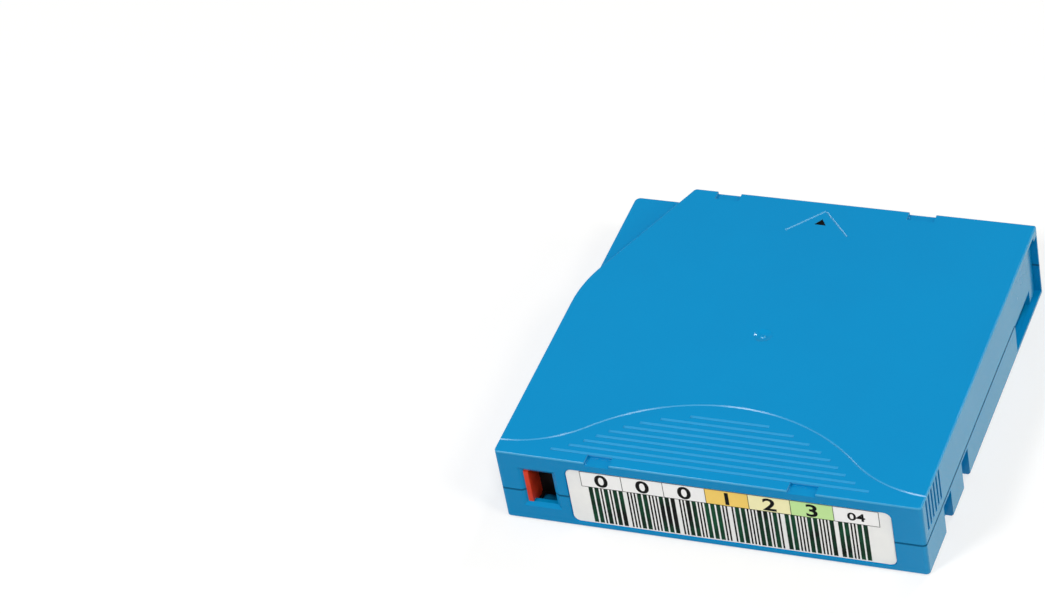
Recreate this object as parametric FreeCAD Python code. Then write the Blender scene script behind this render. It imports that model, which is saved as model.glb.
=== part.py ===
import FreeCAD, Part
import math
import os

# Half-inch data tape cartridge: a two-part moulded case with one reel inside.
# Origin: centre of the case's base. +X right seen from the label side, +Y the way
# the cartridge goes into a drive, +Z up. Millimetres.

Vector = FreeCAD.Vector
UP = Vector(0, 0, 1)

# Case
CASE_WIDTH = 105.4
CASE_LENGTH = 102.0
CASE_HEIGHT = 21.5
PARTING_HEIGHT = 9.5
WALL = 1.8
FLOOR = 1.9
ROOF = 1.8
FRONT_CORNER_RADIUS = 1.0
REAR_CORNER_RADIUS = 1.0
DOOR_CORNER_RADIUS = 0.6
TOP_EDGE_RADIUS = 0.4
BASE_CHAMFER = 0.5
PARTING_CHAMFER = 0.25
MIN_INNER_RADIUS = 0.4

HALF_WIDTH = CASE_WIDTH / 2
HALF_LENGTH = CASE_LENGTH / 2
FRONT_Y = -HALF_LENGTH
ROOF_HEIGHT = CASE_HEIGHT - ROOF
INNER_X = HALF_WIDTH - WALL
INNER_FRONT_Y = FRONT_Y + WALL
BIG = 4 * CASE_WIDTH

# Reel and tape, from the case's inside inwards
REEL_X = -1.6
REEL_WALL_GAP = 0.7
REEL_LIFT = 0.4
REEL_HEADROOM = 2.4
FLANGE_THICKNESS = 1.1
FLANGE_OVER_PACK = 1.65
HUB_RADIUS = 22.0
HUB_WALL = 2.2
TAPE_PLAY = 0.075
LEADER_THICKNESS = 0.15
LEADER_IN_CLIP = 0.3
TAPE_GAP = 0.15
SPIGOT_TAB_COUNT = 3
SPIGOT_TAB_WIDTH = 5.0
SPIGOT_TAB_DEPTH = 1.4
SPIGOT_LENGTH = 1.8
SPIGOT_CLEARANCE = 0.1

FLANGE_RADIUS = min(HALF_LENGTH, HALF_WIDTH - abs(REEL_X)) - WALL - REEL_WALL_GAP
PACK_RADIUS = FLANGE_RADIUS - FLANGE_OVER_PACK
FLANGE_BASE = FLOOR + REEL_LIFT
FLANGE_TOP = FLANGE_BASE + FLANGE_THICKNESS
REEL_TOP = ROOF_HEIGHT - REEL_HEADROOM
HUB_TOP = REEL_TOP - FLANGE_THICKNESS
TAPE_BASE = FLANGE_TOP + TAPE_PLAY
TAPE_TOP = HUB_TOP - TAPE_PLAY

# Lowered corner at the rear left
STEP_DROP = 5.0
STEP_FROM_FLANGE = 2.9
STEP_ANGLE = 67.3
STEP_SIDE_RADIUS = 36.0
STEP_CORNER_RADIUS = 1.5
STEP_EDGE_RADIUS = 0.4
STEP_HEIGHT = CASE_HEIGHT - STEP_DROP
STEP_ROOF_HEIGHT = STEP_HEIGHT - ROOF

# Drive coupling under the hub
DRIVE_TEETH = 60
DRIVE_TEETH_FROM_HUB = 4.6
DRIVE_TEETH_LENGTH = 3.2
DRIVE_TOOTH_HEIGHT = 1.25
TOOTH_ROOT_SHARE = 0.64
DRIVE_TOOTH_TIP = 0.35
TOOTH_SINK = 0.1
GEAR_RING_DEPTH = 1.0
GEAR_RING_GAP = 0.2
WEB_TOP_HEIGHT = 5.8
ACCESS_GAP = 0.9
PLATE_GAP = 0.8
PLATE_INNER = 6.5
PLATE_THICKNESS = 0.8

DRIVE_TEETH_OUTER = HUB_RADIUS - DRIVE_TEETH_FROM_HUB
DRIVE_TEETH_INNER = DRIVE_TEETH_OUTER - DRIVE_TEETH_LENGTH
DRIVE_TOOTH_ROOT = TOOTH_ROOT_SHARE * 2 * math.pi * DRIVE_TEETH_INNER / DRIVE_TEETH
ACCESS_RADIUS = DRIVE_TEETH_OUTER + ACCESS_GAP
PLATE_OUTER = DRIVE_TEETH_INNER - PLATE_GAP
GEAR_ROOT = FLANGE_BASE + GEAR_RING_DEPTH

# Feet on the floor that the reel rests on when no drive lifts it
REST_COUNT = 6
REST_FROM_ACCESS = 0.9
REST_LENGTH = 3.0
REST_WIDTH = 1.4
REST_HEIGHT = 0.3

# Reel brake and its release
BRAKE_TEETH = 24
BRAKE_SEGMENT_TEETH = 5
BRAKE_TEETH_FROM_LEGS = 2.5
BRAKE_TEETH_LENGTH = 2.3
BRAKE_TOOTH_HEIGHT = 1.3
BRAKE_TOOTH_TIP = 0.8
BRAKE_TIP_CLEARANCE = 0.3
BRAKE_RIM = 0.3
BRAKE_SEGMENT_BASE = 1.6
BRAKE_PLATE_THICKNESS = 1.2
BRAKE_NOSE_RADIUS = 3.0
BRAKE_LIFT = 1.5
SOCKET_RADIUS = 5.6
SOCKET_HEADROOM = 1.0
SOCKET_FLOOR = 0.6
GUIDE_RIB = 1.4
GUIDE_SPAN = 8.0
GUIDE_CLEARANCE = 0.3
ARM_COUNT = 3
ARM_WIDTH = 4.0
ARM_THICKNESS = 1.2
ARM_REST_GAP = 0.1
LEG_FROM_TEETH = 0.4
LEG_DEPTH = 2.4
LEG_ABOVE_TIPS = 0.2
LEG_WINDOW_CLEARANCE = 0.35
SPIDER_PAD_RADIUS = 4.0
SPIDER_PAD_HEIGHT = 0.15
NOSE_GAP = 0.05
BRAKE_SPRING_RADIUS = 7.4
BRAKE_SPRING_WIRE = 0.8
BRAKE_SPRING_TURNS = 3.5
BRAKE_SPRING_STEPS = 16
SPRING_STUD_GAP = 0.5
SPRING_STUD_DEPTH = 0.8
SPRING_STUD_WIDTH = 3.0
SPRING_STUD_HEIGHT = 0.9
LIMIT_RIB_RADIUS = 20.0
LIMIT_RIB_LENGTH = 12.0
LIMIT_RIB_WIDTH = 1.2
LIMIT_RIB_GAP = 0.6
LIMIT_RIB_COUNT = 6

LEG_OUTER = DRIVE_TEETH_OUTER - LEG_FROM_TEETH
LEG_INNER = LEG_OUTER - LEG_DEPTH
BRAKE_TEETH_OUTER = LEG_INNER - BRAKE_TEETH_FROM_LEGS
BRAKE_TEETH_INNER = BRAKE_TEETH_OUTER - BRAKE_TEETH_LENGTH
BRAKE_TOOTH_ROOT = TOOTH_ROOT_SHARE * 2 * math.pi * BRAKE_TEETH_INNER / BRAKE_TEETH
SPIDER_BASE = WEB_TOP_HEIGHT + ARM_REST_GAP
SPIDER_TOP = SPIDER_BASE + ARM_THICKNESS + SPIDER_PAD_HEIGHT
HUB_TOOTH_ROOT = WEB_TOP_HEIGHT + BRAKE_SEGMENT_BASE
HUB_TOOTH_TIP = HUB_TOOTH_ROOT + BRAKE_TOOTH_HEIGHT
BRAKE_TOOTH_END = HUB_TOOTH_ROOT + BRAKE_TIP_CLEARANCE
BRAKE_PLATE_BASE = HUB_TOOTH_TIP + BRAKE_TIP_CLEARANCE
BRAKE_PLATE_TOP = BRAKE_PLATE_BASE + BRAKE_PLATE_THICKNESS
SOCKET_TOP = ROOF_HEIGHT - BRAKE_LIFT - SOCKET_HEADROOM
SOCKET_BASE = BRAKE_PLATE_TOP + SOCKET_FLOOR

# Side notches in the lower half, measured from the front
NOTCH_DEPTH = 2.0
NOTCH_BELOW_PARTING = 1.05
NOTCH_SPANS = ((14.4, 20.4), (29.6, 34.8))
NOTCH_HEIGHT = PARTING_HEIGHT - NOTCH_BELOW_PARTING

# Sliding door at the rear right, measured from the rear
DOOR_FRONT_FROM_REAR = 23.8
DOOR_REAR_WALL = 1.0
DOOR_TRAVEL = 18.0
DOOR_THICKNESS = 1.4
DOOR_RECESS = 0.9
DOOR_CLEARANCE = 0.15
DOOR_GROOVE = 0.7
DOOR_TUCK = 2.6
DOOR_CURVE_LENGTH = 6.2
DOOR_BASE_CURVE_LENGTH = 2.6
DOOR_CURVE_DEPTH = 0.8
DOOR_POCKET_END_GAP = 0.6
CORNER_LIP_LENGTH = 3.3
CORNER_LIP_HEIGHT = 2.5
PULL_SLOT_FROM_REAR = 8.0
PULL_SLOT_LENGTH = 14.5
PULL_SLOT_BASE = 2.3
PULL_SLOT_HEIGHT = 1.8
SCOOP_HEIGHT = 2.9
SCOOP_DEPTH = 0.9
RAIL_THICKNESS = 0.8
RAIL_HEIGHT = 2.2
RAIL_FROM_REAR = 13.0
LUG_REACH = 2.0
LUG_LENGTH = 1.5
LUG_HEIGHT = 2.8
DOOR_SPRING_HEIGHT = 6.3
DOOR_SPRING_RADIUS = 0.8
DOOR_SPRING_WIRE = 0.4
DOOR_SPRING_TURNS = 9
DOOR_SPRING_STEPS = 8
DOOR_SPRING_FROM_WALL = 1.25
SPRING_STOP_THICKNESS = 1.4
SPRING_STOP_WIDTH = 3.2
SPRING_STOP_HEIGHT = 8.2
SPRING_STOP_FROM_NOTCH = 0.6

DOOR_FRONT = HALF_LENGTH - DOOR_FRONT_FROM_REAR
DOOR_REAR = HALF_LENGTH - DOOR_REAR_WALL
DOOR_OUTER_X = HALF_WIDTH - DOOR_RECESS
DOOR_INNER_X = DOOR_OUTER_X - DOOR_THICKNESS
SKIN_X = DOOR_OUTER_X + DOOR_CLEARANCE
TRACK_X = DOOR_INNER_X - DOOR_CLEARANCE
TRACK_BASE = FLOOR - DOOR_GROOVE
TRACK_TOP = ROOF_HEIGHT + DOOR_GROOVE
DOOR_BASE = TRACK_BASE + DOOR_CLEARANCE
DOOR_TOP = TRACK_TOP - DOOR_CLEARANCE
DOOR_START = DOOR_FRONT - DOOR_TUCK
DOOR_END = DOOR_REAR - DOOR_CLEARANCE * 2
TRACK_START = DOOR_START - DOOR_TRAVEL - DOOR_POCKET_END_GAP
RAIL_REAR = HALF_LENGTH - RAIL_FROM_REAR
PULL_SLOT_REAR = HALF_LENGTH - PULL_SLOT_FROM_REAR
PULL_SLOT_FRONT = PULL_SLOT_REAR - PULL_SLOT_LENGTH
SPRING_STOP_FRONT = FRONT_Y + NOTCH_SPANS[1][1] + WALL + SPRING_STOP_FROM_NOTCH
SPRING_STOP_REAR = SPRING_STOP_FRONT + SPRING_STOP_THICKNESS
DOOR_SPRING_LENGTH = DOOR_START - SPRING_STOP_REAR

# Leader pin and its springs
PIN_FROM_REAR = 7.4
PIN_OVER_TAPE = 1.325
PIN_FLANGE_RADIUS = 2.1
PIN_FLANGE_THICKNESS = 0.8
PIN_SHAFT_RADIUS = 1.2
CLIP_RADIUS = 1.9
CLIP_MOUTH = 1.2
CLIP_UNDER_TAPE = 0.125
CLIP_CLEARANCE = 0.05
SPRING_STRIP = 0.3
SPRING_ARM_GAP = 0.15
SPRING_ARM_LENGTH = 6.6
SPRING_HOOK = 0.45
SPRING_WIDTH = 1.0
SPRING_BEND_RADIUS = 1.0
SPRING_POST = 1.6
SPRING_POST_FROM_PIN = 3.4
PIN_PAD_MARGIN = 4.2

PIN_X = REEL_X + PACK_RADIUS + TAPE_GAP + LEADER_THICKNESS / 2
PIN_Y = HALF_LENGTH - PIN_FROM_REAR
PIN_BASE = TAPE_BASE - PIN_OVER_TAPE
PIN_TOP = TAPE_TOP + PIN_OVER_TAPE

# Screws
SCREW_FROM_SIDE = 6.1
SCREW_FROM_SWITCH_SIDE = 18.2
SCREW_FROM_STEP_SIDE = 6.7
SCREW_FROM_FRONT = 5.8
SCREW_FROM_STEP_REAR = 8.0
SCREW_FROM_REAR = 5.0
SCREW_FROM_PIN = 12.475
SCREW_BOSS_RADIUS = 2.9
SCREW_BOSS_SIDES = 8
SCREW_SHANK_RADIUS = 1.1
SCREW_HEAD_RADIUS = 2.1
SCREW_HEAD_SIDES = 16
SCREW_HEAD_HEIGHT = 1.3
SCREW_HEAD_DEPTH = 1.4
SCREW_TIP_COVER = 1.3
SCREW_HOLE_CLEARANCE = 0.2
SCREW_HOLE_SPARE = 0.5
SCREW_DRIVE_RADIUS = 1.0
SCREW_DRIVE_SIDES = 6
SCREW_DRIVE_DEPTH = 0.8

SCREW_HOLE_TOP = STEP_ROOF_HEIGHT - SCREW_TIP_COVER
SCREW_PLACES = (
    (-HALF_WIDTH + SCREW_FROM_SWITCH_SIDE, FRONT_Y + SCREW_FROM_FRONT),
    (HALF_WIDTH - SCREW_FROM_SIDE, FRONT_Y + SCREW_FROM_FRONT),
    (-HALF_WIDTH + SCREW_FROM_STEP_SIDE, HALF_LENGTH - SCREW_FROM_STEP_REAR),
    (PIN_X - SCREW_FROM_PIN, HALF_LENGTH - SCREW_FROM_REAR),
)

# Locating holes in the base
LOCATOR_FROM_SIDE = 8.1
LOCATOR_FROM_FRONT = 18.0
LOCATOR_RADIUS = 2.0
LOCATOR_DEPTH = 6.5
LOCATOR_SLOT_LENGTH = 5.5
LOCATOR_WALL = 1.3
LOCATOR_X = HALF_WIDTH - LOCATOR_FROM_SIDE
LOCATOR_Y = FRONT_Y + LOCATOR_FROM_FRONT

# Finger grooves on both sides
GROOVE_COUNT = 6
GROOVE_PITCH = 2.08
GROOVE_FROM_FRONT = 3.3
GROOVE_WIDTH = 1.0
GROOVE_DEPTH = 0.9
GROOVE_BASE = 11.9
GROOVE_FROM_TOP = 0.6

# Recesses on the top's front and rear edges
TAB_SPANS = ((-29.8, -23.5), (20.4, 27.4))
TAB_LENGTH = 3.1
TAB_DEPTH = 1.0

# Mark at the reel's axis on the top
DIMPLE_RADIUS = 2.3
DIMPLE_DEPTH = 0.5
NUB_RADIUS = 0.8
NUB_DROP = 0.1

# Arrow and open chevron on the top, pointing to the rear
ARROW_X = -0.3
ARROW_WIDTH = 3.1
ARROW_LENGTH = 2.3
ARROW_DEPTH = 0.3
ARROW_TIP_FROM_REAR = 6.35
CHEVRON_WIDTH = 15.9
CHEVRON_LENGTH = 8.6
CHEVRON_TIP_FROM_REAR = 3.3
CHEVRON_LINE = 0.5
CHEVRON_DEPTH = 0.25

# Curved line and fine grooves on the top
SWEEP_CENTRE_FROM_FRONT = 23.4
SWEEP_RADIUS = 48.5
SWEEP_TURN_X = 33.0
SWEEP_END_RADIUS = 30.0
SWEEP_PAST_SIDE = 2.0
SWEEP_WIDTH = 0.5
SWEEP_DEPTH = 0.25
FIELD_FROM_SWEEP = 4.0
FIELD_COUNT = 9
FIELD_FROM_FRONT = 20.0
FIELD_PITCH = 2.1
FIELD_LINE_WIDTH = 0.9
FIELD_LINE_DEPTH = 0.3
SWEEP_CENTRE_Y = FRONT_Y - SWEEP_CENTRE_FROM_FRONT

# Label
LABEL_FROM_LEFT = 17.3
LABEL_FROM_RIGHT = 7.5
LABEL_BASE = 1.5
LABEL_FROM_TOP = 2.9
LABEL_CORNER = 2.0
LABEL_RECESS = 0.5
LABEL_THICKNESS = 0.2
LABEL_MARGIN = 0.25
LABEL_LEFT = -HALF_WIDTH + LABEL_FROM_LEFT
LABEL_RIGHT = HALF_WIDTH - LABEL_FROM_RIGHT
LABEL_TOP = CASE_HEIGHT - LABEL_FROM_TOP

# Write-protect window and switch
WINDOW_FROM_LEFT = 6.3
WINDOW_WIDTH = 7.5
WINDOW_BASE = 5.8
WINDOW_FROM_TOP = 5.7
WINDOW_BEVEL = 1.1
WINDOW_BEVEL_DEPTH = 0.7
SWITCH_FINGER = 1.2
SWITCH_FROM_LEFT = 2.5
SWITCH_LENGTH = 5.2
SWITCH_FROM_FRONT = 5.8
SWITCH_PLATE = 1.0
SWITCH_FACE_DEPTH = 0.3
SWITCH_WINDOW_GAP = 0.2
SWITCH_BELOW_WINDOW = 1.4
SWITCH_ABOVE_WINDOW = 0.8
SWITCH_GAP = 0.15
SWITCH_RAIL = 1.2
POCKET_WALL = 0.6
SENSE_HOLE_FROM_LEFT = 10.7
SENSE_HOLE_FROM_FRONT = 4.2
SENSE_HOLE_WIDTH = 4.6
SENSE_HOLE_LENGTH = 3.2
WINDOW_LEFT = -HALF_WIDTH + WINDOW_FROM_LEFT
WINDOW_RIGHT = WINDOW_LEFT + WINDOW_WIDTH
WINDOW_TOP = CASE_HEIGHT - WINDOW_FROM_TOP
SWITCH_LEFT = -HALF_WIDTH + SWITCH_FROM_LEFT
SWITCH_RIGHT = SWITCH_LEFT + SWITCH_LENGTH
SWITCH_BACK_Y = FRONT_Y + SWITCH_FROM_FRONT
SWITCH_BASE = WINDOW_BASE - SWITCH_BELOW_WINDOW
SWITCH_TOP = WINDOW_TOP + SWITCH_ABOVE_WINDOW
POCKET_BASE = SWITCH_BASE - SWITCH_GAP - POCKET_WALL
POCKET_TOP = SWITCH_TOP + SWITCH_GAP + POCKET_WALL
SENSE_HOLE_X = -HALF_WIDTH + SENSE_HOLE_FROM_LEFT
SENSE_HOLE_Y = FRONT_Y + SENSE_HOLE_FROM_FRONT

# Memory board in the front right corner
BOARD_FROM_RIGHT = 10.7
BOARD_LENGTH = 17.5
BOARD_WIDTH = 7.6
BOARD_THICKNESS = 0.6
BOARD_TILT = 45.0
BOARD_FROM_FRONT_WALL = 0.7
BOARD_ABOVE_FLOOR = 0.5
CHIP_SIZE = 4.0
CHIP_THICKNESS = 0.7
CRADLE_THICKNESS = 1.0
CRADLE_INSET = 1.6
CRADLE_HEIGHT = 5.4
BOARD_LEFT = HALF_WIDTH - BOARD_FROM_RIGHT - BOARD_LENGTH
BOARD_FRONT_Y = INNER_FRONT_Y + BOARD_FROM_FRONT_WALL
BOARD_HEIGHT = FLOOR + BOARD_ABOVE_FLOOR

# Round wall about the reel, on the floor
GUARD_GAP = 0.9
GUARD_THICKNESS = 1.1
GUARD_OPEN_START = -12.0
GUARD_OPEN_END = 70.0


def rounded_wire(corners, height=0.0):
    """Closed wire at a height through corners (x, y, radius), with tangent arcs."""
    entries, exits, middles = [], [], []
    for index, (x, y, radius) in enumerate(corners):
        here = Vector(x, y, height)
        back = Vector(corners[index - 1][0], corners[index - 1][1], height) - here
        following = corners[(index + 1) % len(corners)]
        ahead = Vector(following[0], following[1], height) - here
        half_angle = back.getAngle(ahead) / 2
        reach = radius / math.tan(half_angle)
        back.normalize()
        ahead.normalize()
        bisector = back + ahead
        bisector.normalize()
        centre_distance = radius / math.sin(half_angle)
        entries.append(here + back * reach)
        exits.append(here + ahead * reach)
        middles.append(here + bisector * (centre_distance - radius))
    edges = []
    for index, (x, y, radius) in enumerate(corners):
        if radius > 0:
            edges.append(Part.Arc(entries[index], middles[index], exits[index]).toShape())
        edges.append(Part.makeLine(exits[index], entries[(index + 1) % len(corners)]))
    return Part.Wire(edges)


def prism(corners, base, top):
    """Upright prism on a rounded outline."""
    return Part.Face(rounded_wire(corners, base)).extrude(Vector(0, 0, top - base))


def inset(corners, distance):
    """The same outline, counterclockwise, moved inwards by a wall's thickness."""
    moved = []
    for index, (x, y, radius) in enumerate(corners):
        before = corners[index - 1]
        after = corners[(index + 1) % len(corners)]
        arriving = Vector(x - before[0], y - before[1], 0).normalize()
        leaving = Vector(after[0] - x, after[1] - y, 0).normalize()
        first = Vector(-arriving.y, arriving.x, 0)
        second = Vector(-leaving.y, leaving.x, 0)
        shift = (first + second) * (distance / (1 + first.dot(second)))
        moved.append((x + shift.x, y + shift.y, max(radius - distance, MIN_INNER_RADIUS)))
    return moved


def block(x0, x1, y0, y1, z0, z1):
    """Box between two corners."""
    return Part.makeBox(x1 - x0, y1 - y0, z1 - z0, Vector(x0, y0, z0))


def rod(x, y, radius, base, top):
    """Upright cylinder."""
    return Part.makeCylinder(radius, top - base, Vector(x, y, base))


def column(x, y, radius, sides, base, top):
    """Upright prism with equal flat sides, each the radius away from its axis."""
    corner = radius / math.cos(math.pi / sides)
    turns = [2 * math.pi * (index + 0.5) / sides for index in range(sides)]
    outline = [Vector(x + corner * math.cos(turn), y + corner * math.sin(turn), base) for turn in turns]
    return Part.Face(Part.makePolygon(outline + outline[:1])).extrude(Vector(0, 0, top - base))


def ring(x, y, inner, outer, base, top):
    """Upright tube."""
    return rod(x, y, outer, base, top).cut(rod(x, y, inner, base, top))


def turned(profile, x, y):
    """Solid turned about the upright axis at (x, y) from points (radius, height)."""
    points = [Vector(x + radius, y, height) for radius, height in profile]
    face = Part.Face(Part.makePolygon(points + points[:1]))
    return face.revolve(Vector(x, y, 0), UP, 360)


def front_panel(left, right, base, top, radius, y0, y1):
    """Upright rounded plate that faces the front, from y0 back to y1."""
    outline = ((left, base, radius), (right, base, radius), (right, top, radius), (left, top, radius))
    panel = prism(outline, -y1, -y0)
    panel.rotate(Vector(0, 0, 0), Vector(1, 0, 0), 90)
    return panel


def edges_at(shape, height):
    """Edges that lie flat at a height."""
    return [
        edge for edge in shape.Edges
        if all(abs(vertex.Z - height) < 1e-6 for vertex in edge.Vertexes)
        and abs(edge.CenterOfMass.z - height) < 1e-6
    ]


def join(first, others):
    """One solid from several that touch or overlap."""
    return first.multiFuse(list(others)).removeSplitter()


def turned_copies(shape, angles):
    """Copies of a shape, turned about the reel's axis by each angle."""
    copies = []
    for angle in angles:
        copy = shape.copy()
        copy.rotate(Vector(REEL_X, 0, 0), UP, angle)
        copies.append(copy)
    return copies


def face_tooth(inner, outer, root_height, tip_height, root_width, tip_width):
    """One tooth of a face gear, along +X from the reel's axis."""
    outline = [
        Vector(REEL_X + inner, -root_width / 2, root_height),
        Vector(REEL_X + inner, root_width / 2, root_height),
        Vector(REEL_X + inner, tip_width / 2, tip_height),
        Vector(REEL_X + inner, -tip_width / 2, tip_height),
    ]
    face = Part.Face(Part.makePolygon(outline + outline[:1]))
    return face.extrude(Vector(outer - inner, 0, 0))


def coil(radius, wire, turns, length, steps):
    """Coil spring from z 0 to its length, of square wire with a number of straight runs a turn."""
    count = round(turns * steps)
    rise = (length - wire) / count
    half = wire / 2
    rings = []
    for index in range(count + 1):
        turn = 2 * math.pi * index / steps
        out = Vector(math.cos(turn), math.sin(turn), 0)
        middle = UP * (rise * index + half)
        rings.append([
            out * (radius + side * half) + middle + UP * (lift * half)
            for side, lift in ((-1, -1), (1, -1), (1, 1), (-1, 1))
        ])
    flats = [rings[0], rings[-1]]
    for first, second in zip(rings, rings[1:]):
        for index in range(4):
            following = (index + 1) % 4
            flats.append([first[index], first[following], second[index]])
            flats.append([first[following], second[following], second[index]])
    faces = [Part.Face(Part.makePolygon(corners + corners[:1])) for corners in flats]
    solid = Part.Solid(Part.Shell(faces))
    return solid if solid.Volume > 0 else solid.reversed()


def case_outline():
    """Plan of the whole case."""
    return [
        (-HALF_WIDTH, -HALF_LENGTH, FRONT_CORNER_RADIUS),
        (HALF_WIDTH, -HALF_LENGTH, FRONT_CORNER_RADIUS),
        (HALF_WIDTH, HALF_LENGTH, DOOR_CORNER_RADIUS),
        (-HALF_WIDTH, HALF_LENGTH, STEP_CORNER_RADIUS),
    ]


def raised_outline():
    """Plan of the full-height part of the case, without the lowered corner."""
    angle = math.radians(STEP_ANGLE)
    normal_x, normal_y = -math.sin(angle), math.cos(angle)
    offset = FLANGE_RADIUS + STEP_FROM_FLANGE + REEL_X * normal_x
    rear_x = (offset - HALF_LENGTH * normal_y) / normal_x
    side_y = (offset + HALF_WIDTH * normal_x) / normal_y
    return [
        (-HALF_WIDTH, -HALF_LENGTH, FRONT_CORNER_RADIUS),
        (HALF_WIDTH, -HALF_LENGTH, FRONT_CORNER_RADIUS),
        (HALF_WIDTH, HALF_LENGTH, DOOR_CORNER_RADIUS),
        (rear_x, HALF_LENGTH, REAR_CORNER_RADIUS),
        (-HALF_WIDTH, side_y, STEP_SIDE_RADIUS),
    ]


def upper_cavity():
    """Hollow of the upper half, up to its two roofs."""
    low = prism(inset(case_outline(), WALL), PARTING_HEIGHT - 1, STEP_ROOF_HEIGHT)
    high = prism(inset(raised_outline(), WALL), PARTING_HEIGHT - 1, ROOF_HEIGHT)
    return low.fuse(high)


def lower_cavity():
    """Hollow of the lower half, above its floor."""
    return prism(inset(case_outline(), WALL), FLOOR, PARTING_HEIGHT + 1)


def reel_guard():
    """Round wall on the floor about the reel, open where the tape leaves it."""
    inner = FLANGE_RADIUS + GUARD_GAP
    base = FLOOR / 2
    wall = ring(REEL_X, 0, inner, inner + GUARD_THICKNESS, base, PARTING_HEIGHT)
    opening = Part.makeCylinder(BIG, PARTING_HEIGHT, Vector(REEL_X, 0, 0), UP,
                                GUARD_OPEN_END - GUARD_OPEN_START)
    opening.rotate(Vector(REEL_X, 0, 0), UP, GUARD_OPEN_START)
    inside = prism(inset(case_outline(), WALL), base, PARTING_HEIGHT)
    return wall.common(inside).cut(opening)


def door_opening():
    """Space that the door and its track need in both halves of the case."""
    track = block(TRACK_X, SKIN_X, TRACK_START, DOOR_REAR, TRACK_BASE, TRACK_TOP)
    mouth = block(TRACK_X, HALF_WIDTH + 1, DOOR_FRONT, HALF_LENGTH - CORNER_LIP_LENGTH,
                  TRACK_BASE, TRACK_TOP)
    corner = block(TRACK_X, HALF_WIDTH + 1, DOOR_FRONT, DOOR_REAR,
                   TRACK_BASE, CASE_HEIGHT - CORNER_LIP_HEIGHT)
    return track.fuse([mouth, corner])


def switch_window():
    """Write-protect window with its bevelled frame."""
    middle_x = (WINDOW_LEFT + WINDOW_RIGHT) / 2
    hole = block(WINDOW_LEFT, WINDOW_RIGHT, FRONT_Y - 1, INNER_FRONT_Y + 1,
                 WINDOW_BASE, WINDOW_TOP)
    rims = []
    for depth, spread in ((0.0, WINDOW_BEVEL), (WINDOW_BEVEL_DEPTH, 0.0)):
        y = FRONT_Y + depth
        corners = [
            Vector(WINDOW_LEFT - spread, y, WINDOW_BASE - spread),
            Vector(WINDOW_RIGHT + spread, y, WINDOW_BASE - spread),
            Vector(WINDOW_RIGHT + spread, y, WINDOW_TOP + spread),
            Vector(WINDOW_LEFT - spread, y, WINDOW_TOP + spread),
        ]
        rims.append(Part.makePolygon(corners + corners[:1]))
    bevel = Part.makeLoft(rims, True, True)
    return hole.fuse(bevel)


def sense_hole():
    """Opening from below up to the switch, where a drive feels for it."""
    half_width, half_length = SENSE_HOLE_WIDTH / 2, SENSE_HOLE_LENGTH / 2
    return block(SENSE_HOLE_X - half_width, SENSE_HOLE_X + half_width, SENSE_HOLE_Y - half_length,
                 SENSE_HOLE_Y + half_length, -1, SWITCH_BASE)


def label_recess():
    """Shallow recess for the label on the front."""
    return front_panel(LABEL_LEFT, LABEL_RIGHT, LABEL_BASE, LABEL_TOP, LABEL_CORNER,
                       FRONT_Y - 1, FRONT_Y + LABEL_RECESS)


def finger_grooves():
    """Upright grip grooves on both sides, near the label."""
    grooves = []
    for index in range(GROOVE_COUNT):
        y = FRONT_Y + GROOVE_FROM_FRONT + index * GROOVE_PITCH
        for side in (-1, 1):
            inner = side * (HALF_WIDTH - GROOVE_DEPTH)
            outer = side * (HALF_WIDTH + 1)
            grooves.append(block(min(inner, outer), max(inner, outer), y - GROOVE_WIDTH / 2,
                                 y + GROOVE_WIDTH / 2, GROOVE_BASE, CASE_HEIGHT - GROOVE_FROM_TOP))
    return grooves


def edge_tabs():
    """Shallow recesses on the front and rear edges of the top."""
    tabs = []
    for left, right in TAB_SPANS:
        base, top = CASE_HEIGHT - TAB_DEPTH, CASE_HEIGHT + 1
        tabs.append(block(left, right, -HALF_LENGTH - 1, -HALF_LENGTH + TAB_LENGTH, base, top))
        tabs.append(block(left, right, HALF_LENGTH - TAB_LENGTH, HALF_LENGTH + 1, base, top))
    return tabs


def groove_section(middle, width, depth):
    """V section (across, height) of a groove, its slopes carried on above the top."""
    return (
        (middle - width, CASE_HEIGHT + depth),
        (middle + width, CASE_HEIGHT + depth),
        (middle, CASE_HEIGHT - depth),
    )


def arc_groove(x, y, radius, start, end):
    """Groove of the curved line about (x, y), from one angle to another."""
    corners = []
    for across, height in groove_section(radius, SWEEP_WIDTH, SWEEP_DEPTH):
        corners.append(Vector(x + across, y, height))
    section = Part.Face(Part.makePolygon(corners + corners[:1]))
    groove = section.revolve(Vector(x, y, 0), UP, end - start)
    groove.rotate(Vector(x, y, 0), UP, start)
    return groove


def straight_groove(start, end, width, depth):
    """V groove in the top between two points (x, y)."""
    along = Vector(end[0] - start[0], end[1] - start[1], 0)
    across = Vector(-along.y, along.x, 0).normalize()
    corners = []
    for offset, height in groove_section(0, width, depth):
        corners.append(Vector(start[0], start[1], height) + across * offset)
    return Part.Face(Part.makePolygon(corners + corners[:1])).extrude(along)


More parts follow.
